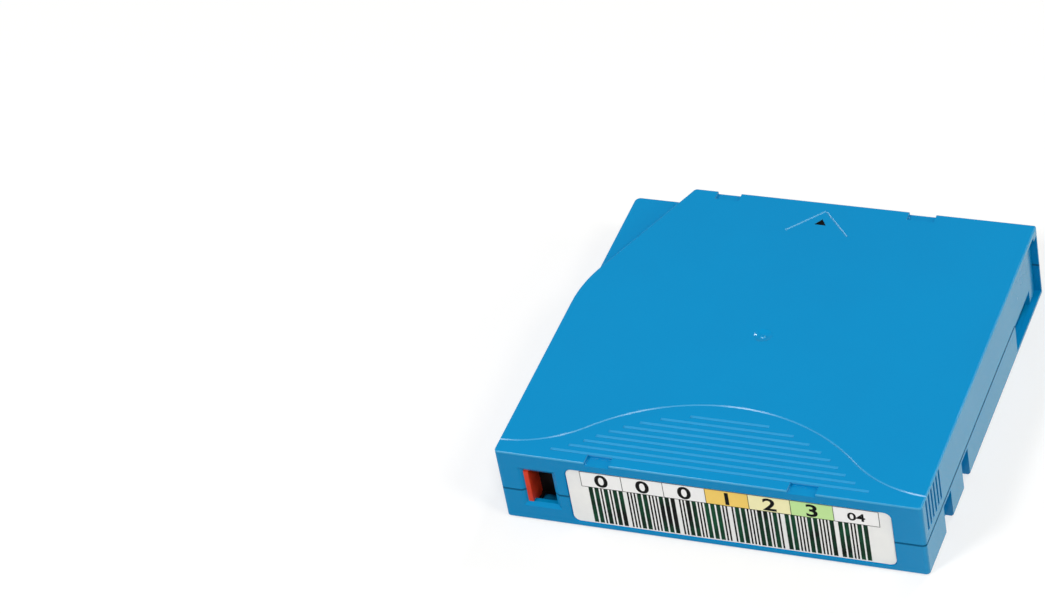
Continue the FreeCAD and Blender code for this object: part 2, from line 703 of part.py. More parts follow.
def top_lines():
    """The long curved line on the top and the field of fine grooves below it."""
    lift = math.degrees(math.acos(SWEEP_TURN_X / SWEEP_RADIUS))
    reach = SWEEP_RADIUS + SWEEP_END_RADIUS
    end_x = reach * math.cos(math.radians(lift))
    end_y = SWEEP_CENTRE_Y + reach * math.sin(math.radians(lift))
    cuts = [
        arc_groove(0, SWEEP_CENTRE_Y, SWEEP_RADIUS, lift, 180 - lift),
        arc_groove(end_x, end_y, SWEEP_END_RADIUS, 180 + lift, 270 + SWEEP_PAST_SIDE),
        arc_groove(-end_x, end_y, SWEEP_END_RADIUS, 270 - SWEEP_PAST_SIDE, 360 - lift),
    ]
    inner_radius = SWEEP_RADIUS - FIELD_FROM_SWEEP
    outer_radius = SWEEP_END_RADIUS + FIELD_FROM_SWEEP
    turn_y = SWEEP_CENTRE_Y + inner_radius * math.sin(math.radians(lift))
    for index in range(FIELD_COUNT):
        y = FRONT_Y + FIELD_FROM_FRONT - index * FIELD_PITCH
        if y > turn_y:
            half = math.sqrt(inner_radius ** 2 - (y - SWEEP_CENTRE_Y) ** 2)
        else:
            half = end_x - math.sqrt(outer_radius ** 2 - (y - end_y) ** 2)
        cuts.append(straight_groove((-half, y), (half, y), FIELD_LINE_WIDTH, FIELD_LINE_DEPTH))
    return cuts


def top_dimple():
    """Bowl over the reel's axis, with a domed nub in its middle."""
    bowl_radius = (DIMPLE_RADIUS ** 2 + DIMPLE_DEPTH ** 2) / (2 * DIMPLE_DEPTH)
    bowl_middle = Vector(REEL_X, 0, CASE_HEIGHT - DIMPLE_DEPTH + bowl_radius)
    nub_middle = Vector(REEL_X, 0, CASE_HEIGHT - NUB_DROP - NUB_RADIUS)
    return Part.makeSphere(bowl_radius, bowl_middle).cut(Part.makeSphere(NUB_RADIUS, nub_middle))


def direction_mark():
    """Filled arrow and the open chevron around it, cut into the top."""
    tip = HALF_LENGTH - ARROW_TIP_FROM_REAR
    base = CASE_HEIGHT - ARROW_DEPTH
    corners = [
        Vector(ARROW_X, tip, base),
        Vector(ARROW_X - ARROW_WIDTH / 2, tip - ARROW_LENGTH, base),
        Vector(ARROW_X + ARROW_WIDTH / 2, tip - ARROW_LENGTH, base),
    ]
    marks = [Part.Face(Part.makePolygon(corners + corners[:1])).extrude(Vector(0, 0, 1))]
    tip = HALF_LENGTH - CHEVRON_TIP_FROM_REAR
    for side in (-1, 1):
        foot = (ARROW_X + side * CHEVRON_WIDTH / 2, tip - CHEVRON_LENGTH)
        marks.append(straight_groove((ARROW_X, tip), foot, CHEVRON_LINE, CHEVRON_DEPTH))
    return marks


def brake_guide():
    """Crossed ribs under the roof that keep the brake from turning."""
    base = SOCKET_BASE + BRAKE_LIFT + GUIDE_CLEARANCE
    half, rib = GUIDE_SPAN / 2, GUIDE_RIB / 2
    return [
        block(REEL_X - half, REEL_X + half, -rib, rib, base, ROOF_HEIGHT + ROOF / 2),
        block(REEL_X - rib, REEL_X + rib, -half, half, base, ROOF_HEIGHT + ROOF / 2),
    ]


def upper_shell():
    """Upper half of the case."""
    low = prism(case_outline(), PARTING_HEIGHT, STEP_HEIGHT)
    low = low.makeFillet(STEP_EDGE_RADIUS, edges_at(low, STEP_HEIGHT))
    high = prism(raised_outline(), PARTING_HEIGHT, CASE_HEIGHT)
    high = high.makeFillet(TOP_EDGE_RADIUS, edges_at(high, CASE_HEIGHT))
    shell = low.fuse(high).removeSplitter()
    shell = shell.makeChamfer(PARTING_CHAMFER, edges_at(shell, PARTING_HEIGHT))
    shell = shell.cut(upper_cavity())
    inner_top = ROOF_HEIGHT + ROOF / 2
    limit = block(REEL_X + LIMIT_RIB_RADIUS, REEL_X + LIMIT_RIB_RADIUS + LIMIT_RIB_LENGTH,
                  -LIMIT_RIB_WIDTH / 2, LIMIT_RIB_WIDTH / 2, REEL_TOP + LIMIT_RIB_GAP, inner_top)
    stud_start = REEL_X + BRAKE_SPRING_RADIUS + SPRING_STUD_GAP + BRAKE_SPRING_WIRE / 2
    stud = block(stud_start, stud_start + SPRING_STUD_DEPTH,
                 -SPRING_STUD_WIDTH / 2, SPRING_STUD_WIDTH / 2,
                 ROOF_HEIGHT - SPRING_STUD_HEIGHT, inner_top)
    ribs = turned_copies(limit, spaced_angles(LIMIT_RIB_COUNT))
    ribs += turned_copies(stud, spaced_angles(ARM_COUNT))
    ribs += brake_guide()
    for x, y in SCREW_PLACES:
        roof = STEP_ROOF_HEIGHT if x < 0 < y else ROOF_HEIGHT
        ribs.append(column(x, y, SCREW_BOSS_RADIUS, SCREW_BOSS_SIDES, PARTING_HEIGHT, roof + ROOF / 2))
    pad_half = PIN_FLANGE_RADIUS + SPRING_ARM_GAP + SPRING_STRIP
    ribs.append(block(PIN_X - PIN_PAD_MARGIN, PIN_X + PIN_FLANGE_RADIUS, PIN_Y - pad_half,
                      PIN_Y + pad_half, PIN_TOP + CLIP_CLEARANCE, inner_top))
    ribs.append(spring_post(PIN_TOP - SPRING_WIDTH, inner_top))
    rail_x = TRACK_X - RAIL_THICKNESS
    ribs.append(block(rail_x, TRACK_X, TRACK_START, RAIL_REAR, ROOF_HEIGHT - RAIL_HEIGHT, inner_top))
    switch_rail = SWITCH_BACK_Y - SWITCH_RAIL
    ribs.append(block(-INNER_X - WALL / 2, WINDOW_RIGHT + SWITCH_RAIL, switch_rail - SWITCH_RAIL,
                      switch_rail, POCKET_TOP, inner_top))
    shell = join(shell, ribs)
    cuts = [door_opening(), switch_window(), label_recess(), top_dimple()]
    cuts += finger_grooves() + edge_tabs() + top_lines() + direction_mark()
    for x, y in SCREW_PLACES:
        cuts.append(column(x, y, SCREW_SHANK_RADIUS, SCREW_BOSS_SIDES,
                           PARTING_HEIGHT - 1, SCREW_HOLE_TOP))
    return shell.cut(cuts)


def lower_shell():
    """Lower half of the case."""
    shell = prism(case_outline(), 0, PARTING_HEIGHT)
    shell = shell.makeChamfer(BASE_CHAMFER, edges_at(shell, 0))
    shell = shell.makeChamfer(PARTING_CHAMFER, edges_at(shell, PARTING_HEIGHT))
    shell = shell.cut(lower_cavity())
    rest_start = REEL_X + ACCESS_RADIUS + REST_FROM_ACCESS
    rest = block(rest_start, rest_start + REST_LENGTH, -REST_WIDTH / 2, REST_WIDTH / 2,
                 FLOOR / 2, FLOOR + REST_HEIGHT)
    ribs = [reel_guard()] + turned_copies(rest, spaced_angles(REST_COUNT))
    for x, y in SCREW_PLACES:
        ribs.append(column(x, y, SCREW_BOSS_RADIUS, SCREW_BOSS_SIDES, FLOOR / 2, PARTING_HEIGHT))
    for side in (-1, 1):
        for start, end in NOTCH_SPANS:
            inner = side * (HALF_WIDTH - NOTCH_DEPTH - WALL)
            outer = side * (HALF_WIDTH - WALL / 2)
            ribs.append(block(min(inner, outer), max(inner, outer), FRONT_Y + start - WALL,
                              FRONT_Y + end + WALL, FLOOR / 2, PARTING_HEIGHT))
    boss = LOCATOR_RADIUS + LOCATOR_WALL
    for x, half in ((LOCATOR_X, boss), (-LOCATOR_X, LOCATOR_SLOT_LENGTH / 2 + LOCATOR_WALL)):
        ribs.append(block(x - half, x + half, LOCATOR_Y - boss, LOCATOR_Y + boss,
                          FLOOR / 2, LOCATOR_DEPTH + LOCATOR_WALL))
    ribs.append(block(TRACK_X - RAIL_THICKNESS, TRACK_X, TRACK_START, RAIL_REAR,
                      FLOOR / 2, FLOOR + RAIL_HEIGHT))
    ribs.append(block(INNER_X - SPRING_STOP_WIDTH, INNER_X + WALL / 2,
                      SPRING_STOP_FRONT, SPRING_STOP_REAR, FLOOR / 2, SPRING_STOP_HEIGHT))
    ribs.append(spring_post(FLOOR / 2, PIN_BASE + SPRING_WIDTH))
    ribs += board_cradles()
    switch_rail = SWITCH_BACK_Y - SWITCH_RAIL
    ribs.append(block(-INNER_X - WALL / 2, WINDOW_RIGHT + SWITCH_RAIL, switch_rail - SWITCH_RAIL,
                      switch_rail, FLOOR / 2, POCKET_BASE))
    shell = join(shell, ribs)
    cuts = [door_opening(), switch_window(), label_recess()]
    cuts.append(rod(REEL_X, 0, ACCESS_RADIUS, -1, FLOOR + 1))
    for x, y in SCREW_PLACES:
        cuts.append(column(x, y, SCREW_SHANK_RADIUS + SCREW_HOLE_CLEARANCE, SCREW_BOSS_SIDES,
                           -1, PARTING_HEIGHT + 1))
        cuts.append(rod(x, y, SCREW_HEAD_RADIUS + SCREW_HOLE_CLEARANCE,
                        -1, SCREW_HEAD_DEPTH + SCREW_HEAD_HEIGHT))
    for side in (-1, 1):
        for start, end in NOTCH_SPANS:
            inner = side * (HALF_WIDTH - NOTCH_DEPTH)
            outer = side * (HALF_WIDTH + 1)
            cuts.append(block(min(inner, outer), max(inner, outer), FRONT_Y + start, FRONT_Y + end,
                              -1, NOTCH_HEIGHT))
    cuts.append(rod(LOCATOR_X, LOCATOR_Y, LOCATOR_RADIUS, -1, LOCATOR_DEPTH))
    cuts.append(slot(-LOCATOR_X, LOCATOR_Y, LOCATOR_SLOT_LENGTH, LOCATOR_RADIUS, -1, LOCATOR_DEPTH))
    cuts.append(sense_hole())
    return shell.cut(cuts)


def spring_post(base, top):
    """Square post that a pin spring's bend sits around."""
    x, half = PIN_X - SPRING_POST_FROM_PIN, SPRING_POST / 2
    return block(x - half, x + half, PIN_Y - half, PIN_Y + half, base, top)


def slot(x, y, length, radius, base, top):
    """Upright prism with round ends, long along X."""
    reach = length / 2 - radius
    middle = block(x - reach, x + reach, y - radius, y + radius, base, top)
    return join(middle, [rod(x - reach, y, radius, base, top), rod(x + reach, y, radius, base, top)])


def board_cradles():
    """Two ribs on the floor, cut at the board's slope, that carry it."""
    lean = math.tan(math.radians(BOARD_TILT))
    ribs = []
    for x in (BOARD_LEFT + CRADLE_INSET, BOARD_LEFT + BOARD_LENGTH - CRADLE_INSET - CRADLE_THICKNESS):
        rear = BOARD_FRONT_Y + CRADLE_HEIGHT / lean
        outline = [
            Vector(x, BOARD_FRONT_Y, FLOOR / 2),
            Vector(x, rear, FLOOR / 2),
            Vector(x, rear, BOARD_HEIGHT + CRADLE_HEIGHT),
            Vector(x, BOARD_FRONT_Y, BOARD_HEIGHT),
        ]
        face = Part.Face(Part.makePolygon(outline + outline[:1]))
        ribs.append(face.extrude(Vector(CRADLE_THICKNESS, 0, 0)))
    return ribs


def tilted_board(left, length, start, width, base, thickness):
    """Flat piece on the cradles' slope, start and width measured up the slope."""
    piece = block(left, left + length, start, start + width, base, base + thickness)
    piece.rotate(Vector(0, 0, 0), Vector(1, 0, 0), BOARD_TILT)
    piece.translate(Vector(0, BOARD_FRONT_Y, BOARD_HEIGHT))
    return piece


def memory_board():
    """Small circuit board that leans at 45 degrees."""
    return tilted_board(BOARD_LEFT, BOARD_LENGTH, 0, BOARD_WIDTH, 0, BOARD_THICKNESS)


def memory_chip():
    """Radio memory chip on the board."""
    left = BOARD_LEFT + BOARD_LENGTH / 2 - CHIP_SIZE / 2
    start = BOARD_WIDTH / 2 - CHIP_SIZE / 2
    return tilted_board(left, CHIP_SIZE, start, CHIP_SIZE, BOARD_THICKNESS, CHIP_THICKNESS)


def barcode_label():
    """Paper label in the front recess."""
    back = FRONT_Y + LABEL_RECESS
    return front_panel(LABEL_LEFT + LABEL_MARGIN, LABEL_RIGHT - LABEL_MARGIN,
                       LABEL_BASE + LABEL_MARGIN, LABEL_TOP - LABEL_MARGIN,
                       LABEL_CORNER - LABEL_MARGIN, back - LABEL_THICKNESS, back)


def soft_edge_profile(start, end, outer, inner, tail):
    """Plate section (length, depth) whose outer face curves away over its tail."""
    radius = (tail ** 2 + DOOR_CURVE_DEPTH ** 2) / (2 * DOOR_CURVE_DEPTH)
    half_turn = math.asin(tail / radius) / 2
    middle_along = end - tail + radius * math.sin(half_turn)
    middle_depth = outer - radius * (1 - math.cos(half_turn))
    return (
        (start, inner), (end, inner), (end, outer - DOOR_CURVE_DEPTH),
        (middle_along, middle_depth), (end - tail, outer), (start, outer),
    )


def curved_section(points, place, reach):
    """Face whose fourth point is the middle of an arc, extruded by a vector."""
    corners = [place(along, depth) for along, depth in points]
    edges = [
        Part.makeLine(corners[0], corners[1]),
        Part.makeLine(corners[1], corners[2]),
        Part.Arc(corners[2], corners[3], corners[4]).toShape(),
        Part.makeLine(corners[4], corners[5]),
        Part.makeLine(corners[5], corners[0]),
    ]
    return Part.Face(Part.Wire(edges)).extrude(reach)


def access_door():
    """Sliding door over the tape's exit, with its slot and spring lug."""
    along = soft_edge_profile(DOOR_START, DOOR_END, DOOR_OUTER_X, DOOR_INNER_X, DOOR_CURVE_LENGTH)
    plan = curved_section(along, lambda y, x: Vector(x, y, DOOR_BASE),
                          Vector(0, 0, DOOR_TOP - DOOR_BASE))
    upright = soft_edge_profile(-DOOR_TOP, -DOOR_BASE, DOOR_OUTER_X, DOOR_INNER_X,
                                DOOR_BASE_CURVE_LENGTH)
    side = curved_section(upright, lambda z, x: Vector(x, DOOR_START, -z),
                          Vector(0, DOOR_END - DOOR_START, 0))
    plate = plan.common(side)
    slot_top = PULL_SLOT_BASE + PULL_SLOT_HEIGHT
    slot_space = block(DOOR_INNER_X - 1, DOOR_OUTER_X + 1, PULL_SLOT_FRONT, PULL_SLOT_REAR,
                       PULL_SLOT_BASE, slot_top)
    scoop = [
        Vector(DOOR_OUTER_X, PULL_SLOT_FRONT, slot_top + SCOOP_HEIGHT),
        Vector(DOOR_OUTER_X + 1, PULL_SLOT_FRONT, slot_top + SCOOP_HEIGHT),
        Vector(DOOR_OUTER_X + 1, PULL_SLOT_FRONT, slot_top),
        Vector(DOOR_OUTER_X - SCOOP_DEPTH, PULL_SLOT_FRONT, slot_top),
    ]
    scoop_face = Part.Face(Part.makePolygon(scoop + scoop[:1]))
    plate = plate.cut([slot_space, scoop_face.extrude(Vector(0, PULL_SLOT_LENGTH, 0))])
    lug = block(DOOR_INNER_X - LUG_REACH, DOOR_INNER_X + DOOR_THICKNESS / 2, DOOR_START,
                DOOR_START + LUG_LENGTH, DOOR_SPRING_HEIGHT - LUG_HEIGHT / 2,
                DOOR_SPRING_HEIGHT + LUG_HEIGHT / 2)
    return plate.fuse(lug).removeSplitter()


def door_spring():
    """Coil spring that closes the door."""
    spring = coil(DOOR_SPRING_RADIUS, DOOR_SPRING_WIRE, DOOR_SPRING_TURNS, DOOR_SPRING_LENGTH,
                  DOOR_SPRING_STEPS)
    spring.rotate(Vector(0, 0, 0), Vector(1, 0, 0), -90)
    spring.translate(Vector(INNER_X - DOOR_SPRING_FROM_WALL, SPRING_STOP_REAR, DOOR_SPRING_HEIGHT))
    return spring


def write_protect_switch():
    """Sliding switch behind the front window, with a finger plate that shows there."""
    right = SWITCH_RIGHT
    finger_left = right - SWITCH_FINGER
    wall_y = INNER_FRONT_Y + SWITCH_GAP
    finger_front = FRONT_Y + SWITCH_FACE_DEPTH
    parts = [
        block(finger_left, right, wall_y, SWITCH_BACK_Y, SWITCH_BASE, SWITCH_TOP),
        block(finger_left, right, finger_front, wall_y + SWITCH_PLATE,
              WINDOW_BASE + SWITCH_WINDOW_GAP, WINDOW_TOP - SWITCH_WINDOW_GAP),
        block(SWITCH_LEFT, right, SWITCH_BACK_Y - SWITCH_PLATE, SWITCH_BACK_Y, SWITCH_BASE, SWITCH_TOP),
        block(SWITCH_LEFT, right, wall_y, SWITCH_BACK_Y, SWITCH_BASE, SWITCH_BASE + SWITCH_PLATE),
        block(SWITCH_LEFT, right, wall_y, SWITCH_BACK_Y, SWITCH_TOP - SWITCH_PLATE, SWITCH_TOP),
    ]
    return join(parts[0], parts[1:])


def switch_pocket():
    """Dark liner around the switch's travel, open to the window, held by the rails."""
    right = WINDOW_RIGHT + SWITCH_RAIL
    back = SWITCH_BACK_Y + SWITCH_GAP
    outside = block(SWITCH_LEFT - SWITCH_GAP, right, INNER_FRONT_Y, back + POCKET_WALL,
                    POCKET_BASE, POCKET_TOP)
    inside = block(SWITCH_LEFT - 1, right - POCKET_WALL, INNER_FRONT_Y - 1, back,
                   POCKET_BASE + POCKET_WALL, POCKET_TOP - POCKET_WALL)
    return outside.cut([inside, sense_hole()])


def spaced_angles(count):
    """Equal angles about the reel's axis, from 0."""
    return [360 / count * index for index in range(count)]


def brake_segment_angles():
    """Angles of the hub's brake teeth, in a group between each two arms."""
    pitch = 360 / BRAKE_TEETH
    sector = 360 / ARM_COUNT
    angles = []
    for group in range(ARM_COUNT):
        middle = sector * (group + 0.5)
        first = middle - pitch * (BRAKE_SEGMENT_TEETH - 1) / 2
        angles += [first + pitch * index for index in range(BRAKE_SEGMENT_TEETH)]
    return angles


def reel_hub():
    """Hub and lower flange in one moulding, with its two sets of teeth."""
    inner = HUB_RADIUS - HUB_WALL
    collar = DRIVE_TEETH_OUTER + GEAR_RING_GAP
    body = turned([
        (0, GEAR_ROOT), (collar, GEAR_ROOT), (collar, FLANGE_BASE), (FLANGE_RADIUS, FLANGE_BASE),
        (FLANGE_RADIUS, FLANGE_TOP), (HUB_RADIUS, FLANGE_TOP), (HUB_RADIUS, HUB_TOP),
        (inner, HUB_TOP), (inner, WEB_TOP_HEIGHT), (0, WEB_TOP_HEIGHT),
    ], REEL_X, 0)
    drive_tooth = face_tooth(DRIVE_TEETH_INNER, DRIVE_TEETH_OUTER, GEAR_ROOT + TOOTH_SINK,
                             GEAR_ROOT - DRIVE_TOOTH_HEIGHT, DRIVE_TOOTH_ROOT, DRIVE_TOOTH_TIP)
    pitch = 360 / DRIVE_TEETH
    teeth = turned_copies(drive_tooth, [pitch * (index + 0.5) for index in range(DRIVE_TEETH)])
    brake_tooth = face_tooth(BRAKE_TEETH_INNER, BRAKE_TEETH_OUTER, HUB_TOOTH_ROOT,
                             HUB_TOOTH_TIP, BRAKE_TOOTH_ROOT, BRAKE_TOOTH_TIP)
    teeth += turned_copies(brake_tooth, brake_segment_angles())
    span = 360 / BRAKE_TEETH * BRAKE_SEGMENT_TEETH
    base = Part.makeCylinder(BRAKE_TEETH_OUTER, HUB_TOOTH_ROOT - GEAR_ROOT - TOOTH_SINK,
                             Vector(REEL_X, 0, GEAR_ROOT + TOOTH_SINK), UP, span)
    base = base.cut(rod(REEL_X, 0, BRAKE_TEETH_INNER, 0, CASE_HEIGHT))
    sector = 360 / ARM_COUNT
    bases = turned_copies(base, [sector * (group + 0.5) - span / 2 for group in range(ARM_COUNT)])
    window_half = ARM_WIDTH / 2 + LEG_WINDOW_CLEARANCE
    window = block(REEL_X + LEG_INNER - LEG_WINDOW_CLEARANCE,
                   REEL_X + LEG_OUTER + LEG_WINDOW_CLEARANCE,
                   -window_half, window_half, 0, WEB_TOP_HEIGHT + TOOTH_SINK)
    windows = turned_copies(window, spaced_angles(ARM_COUNT))
    return join(body, bases + teeth).cut(windows)


def upper_flange():
    """Upper reel flange, centred in the hub by short tabs."""
    spigot = HUB_RADIUS - HUB_WALL - SPIGOT_CLEARANCE
    inner = spigot - HUB_WALL
    disc = ring(REEL_X, 0, inner, FLANGE_RADIUS, HUB_TOP, REEL_TOP)
    tab = block(REEL_X + spigot - SPIGOT_TAB_DEPTH, REEL_X + spigot,
                -SPIGOT_TAB_WIDTH / 2, SPIGOT_TAB_WIDTH / 2,
                HUB_TOP - SPIGOT_LENGTH, REEL_TOP - FLANGE_THICKNESS / 2)
    tab = tab.common(rod(REEL_X, 0, spigot, HUB_TOP - SPIGOT_LENGTH, REEL_TOP))
    return join(disc, turned_copies(tab, spaced_angles(SPIGOT_TAB_COUNT)))


def drive_plate():
    """Steel washer under the hub, for the drive's magnet."""
    return ring(REEL_X, 0, PLATE_INNER, PLATE_OUTER, GEAR_ROOT - PLATE_THICKNESS, GEAR_ROOT)


def tape_pack():
    """Wound tape."""
    return ring(REEL_X, 0, HUB_RADIUS, PACK_RADIUS, TAPE_BASE, TAPE_TOP)


def tape_leader():
    """Tape from the pack to the leader pin."""
    left = PIN_X - LEADER_THICKNESS / 2
    end = PIN_Y - CLIP_RADIUS + LEADER_IN_CLIP
    return block(left, left + LEADER_THICKNESS, 0, end, TAPE_BASE, TAPE_TOP)


def leader_pin():
    """Steel pin at the tape's end, with a flange at each end."""
    shaft_base = PIN_BASE + PIN_FLANGE_THICKNESS
    shaft_top = PIN_TOP - PIN_FLANGE_THICKNESS
    return turned([
        (0, PIN_BASE), (PIN_FLANGE_RADIUS, PIN_BASE), (PIN_FLANGE_RADIUS, shaft_base),
        (PIN_SHAFT_RADIUS, shaft_base), (PIN_SHAFT_RADIUS, shaft_top),
        (PIN_FLANGE_RADIUS, shaft_top), (PIN_FLANGE_RADIUS, PIN_TOP), (0, PIN_TOP),
    ], PIN_X, PIN_Y)


def leader_clip():
    """C-shaped clip that holds the tape's end on the pin."""
    inner = PIN_SHAFT_RADIUS + CLIP_CLEARANCE
    base, top = TAPE_BASE + CLIP_UNDER_TAPE, TAPE_TOP - CLIP_UNDER_TAPE
    clip = ring(PIN_X, PIN_Y, inner, CLIP_RADIUS, base, top)
    mouth = block(PIN_X - CLIP_MOUTH / 2, PIN_X + CLIP_MOUTH / 2,
                  PIN_Y - CLIP_RADIUS - 1, PIN_Y, base, top)
    return clip.cut(mouth)


def pin_spring(base):
    """Flat steel spring whose two arms hold one end of the leader pin."""
    inner = PIN_FLANGE_RADIUS + SPRING_ARM_GAP
    outer = inner + SPRING_STRIP
    back = PIN_X - SPRING_POST_FROM_PIN - SPRING_POST / 2 - SPRING_ARM_GAP
    tip = back + SPRING_ARM_LENGTH + SPRING_STRIP
    outlines = []
    for left, right, half, bend in ((back - SPRING_STRIP, tip, outer, SPRING_BEND_RADIUS),
                                    (back, tip + 1, inner, SPRING_BEND_RADIUS - SPRING_STRIP)):
        outlines.append((
            (left, PIN_Y - half, bend), (right, PIN_Y - half, 0),
            (right, PIN_Y + half, 0), (left, PIN_Y + half, bend),
        ))
    outside, inside = [prism(outline, base, base + SPRING_WIDTH) for outline in outlines]
    strip = outside.cut(inside)
    hooks = []
    for side in (-1, 1):
        edge = PIN_Y + side * (inner + SPRING_STRIP / 2)
        hook = PIN_Y + side * (inner - SPRING_HOOK)
        hooks.append(block(tip - SPRING_STRIP, tip, min(edge, hook), max(edge, hook), base,
                           base + SPRING_WIDTH))
    return join(strip, hooks)


def brake_button():
    """Toothed brake that locks the reel, with a socket for the guide ribs."""
    body = rod(REEL_X, 0, BRAKE_TEETH_OUTER + BRAKE_RIM, BRAKE_PLATE_BASE, BRAKE_PLATE_TOP)
    nose = rod(REEL_X, 0, BRAKE_NOSE_RADIUS, SPIDER_TOP + NOSE_GAP, BRAKE_PLATE_TOP)
    socket = rod(REEL_X, 0, SOCKET_RADIUS, BRAKE_PLATE_BASE, SOCKET_TOP)
    tooth = face_tooth(BRAKE_TEETH_INNER, BRAKE_TEETH_OUTER, BRAKE_PLATE_BASE + TOOTH_SINK,
                       BRAKE_TOOTH_END, BRAKE_TOOTH_ROOT, BRAKE_TOOTH_TIP)
    pitch = 360 / BRAKE_TEETH
    first = brake_segment_angles()[0] + pitch / 2
    teeth = turned_copies(tooth, [first + pitch * index for index in range(BRAKE_TEETH)])
    button = join(body, [nose, socket] + teeth)
    half = GUIDE_SPAN / 2 + GUIDE_CLEARANCE
    rib = GUIDE_RIB / 2 + GUIDE_CLEARANCE
    slots = [
        block(REEL_X - half, REEL_X + half, -rib, rib, SOCKET_BASE, SOCKET_TOP + 1),
        block(REEL_X - rib, REEL_X + rib, -half, half, SOCKET_BASE, SOCKET_TOP + 1),
    ]
    return button.cut(slots)


def brake_spring():
    """Coil spring that presses the brake down."""
    spring = coil(BRAKE_SPRING_RADIUS, BRAKE_SPRING_WIRE, BRAKE_SPRING_TURNS,
                  ROOF_HEIGHT - BRAKE_PLATE_TOP, BRAKE_SPRING_STEPS)
    spring.translate(Vector(REEL_X, 0, BRAKE_PLATE_TOP))
    return spring


def release_spider():
    """Three-armed lifter whose legs the drive pushes up to free the brake."""
    pad = rod(REEL_X, 0, SPIDER_PAD_RADIUS, SPIDER_BASE, SPIDER_TOP)
    arm = block(REEL_X, REEL_X + LEG_OUTER, -ARM_WIDTH / 2, ARM_WIDTH / 2,
                SPIDER_BASE, SPIDER_BASE + ARM_THICKNESS)
    leg = block(REEL_X + LEG_INNER, REEL_X + LEG_OUTER, -ARM_WIDTH / 2, ARM_WIDTH / 2,
                GEAR_ROOT - DRIVE_TOOTH_HEIGHT + LEG_ABOVE_TIPS, SPIDER_BASE + ARM_THICKNESS)
    angles = spaced_angles(ARM_COUNT)
    return join(pad, turned_copies(arm, angles) + turned_copies(leg, angles))


def case_screws():
    """Self-tapping screws that hold the two halves together."""
    screws = []
    for x, y in SCREW_PLACES:
        head_base = SCREW_HEAD_DEPTH
        head_top = head_base + SCREW_HEAD_HEIGHT
        head = column(x, y, SCREW_HEAD_RADIUS, SCREW_HEAD_SIDES, head_base, head_top)
        shank = column(x, y, SCREW_SHANK_RADIUS, SCREW_BOSS_SIDES, head_top,
                       SCREW_HOLE_TOP - SCREW_HOLE_SPARE)
        drive = column(x, y, SCREW_DRIVE_RADIUS, SCREW_DRIVE_SIDES, head_base - 1,
                       head_base + SCREW_DRIVE_DEPTH)
        screws.append(head.fuse(shank).removeSplitter().cut(drive))
    return Part.makeCompound(screws)


def pin_spring_lower():
    """Spring at the pin's lower end."""
    return pin_spring(PIN_BASE)


def pin_spring_upper():
    """Spring at the pin's upper end."""
    return pin_spring(PIN_TOP - SPRING_WIDTH)


SUBPARTS = (
    upper_shell, lower_shell, barcode_label, case_screws, memory_board, memory_chip,
    access_door, door_spring, write_protect_switch, switch_pocket,
    reel_hub, upper_flange, drive_plate, tape_pack,
    tape_leader, leader_pin, leader_clip, pin_spring_lower, pin_spring_upper,
    brake_button, brake_spring, release_spider,
)

os.makedirs("parts", exist_ok=True)
for make in SUBPARTS:
    shape = make()
    name = make.__name__
    shape.exportStep("parts/" + name + ".step")
    print(name, "solids", len(shape.Solids), "valid", shape.isValid(), "volume", round(shape.Volume, 2))
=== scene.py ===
"""Half-inch data tape cartridge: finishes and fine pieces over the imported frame.

Everything is in metres, in the frame of the CAD model. Sizes in the classes are millimetres.
"""

import logging
import math
from collections.abc import Sequence
from dataclasses import dataclass
from enum import Enum

import bpy
from mathutils import Matrix, Vector

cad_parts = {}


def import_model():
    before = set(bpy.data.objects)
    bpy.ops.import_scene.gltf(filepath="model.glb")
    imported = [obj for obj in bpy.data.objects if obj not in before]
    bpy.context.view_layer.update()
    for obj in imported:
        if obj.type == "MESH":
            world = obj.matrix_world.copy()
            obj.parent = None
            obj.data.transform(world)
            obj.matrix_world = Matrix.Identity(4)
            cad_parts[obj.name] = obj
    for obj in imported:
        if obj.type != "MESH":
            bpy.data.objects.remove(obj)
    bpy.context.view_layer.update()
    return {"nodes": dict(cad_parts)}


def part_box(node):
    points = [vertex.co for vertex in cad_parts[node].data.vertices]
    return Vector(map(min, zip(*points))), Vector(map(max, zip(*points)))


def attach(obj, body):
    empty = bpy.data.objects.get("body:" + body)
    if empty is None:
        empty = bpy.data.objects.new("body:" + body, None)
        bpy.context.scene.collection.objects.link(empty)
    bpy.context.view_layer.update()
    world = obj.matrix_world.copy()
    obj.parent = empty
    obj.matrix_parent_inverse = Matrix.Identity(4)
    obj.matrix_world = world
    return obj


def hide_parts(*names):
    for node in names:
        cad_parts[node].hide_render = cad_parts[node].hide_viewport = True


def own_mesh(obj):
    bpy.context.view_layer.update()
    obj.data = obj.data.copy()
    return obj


LOG = logging.getLogger("tape_cartridge")
MM = 0.001
WHITE = (1.0, 1.0, 1.0, 1.0)


class Body(Enum):
    """Bodies that new pieces ride on, by the names they have in the record."""

    CASE = "case"


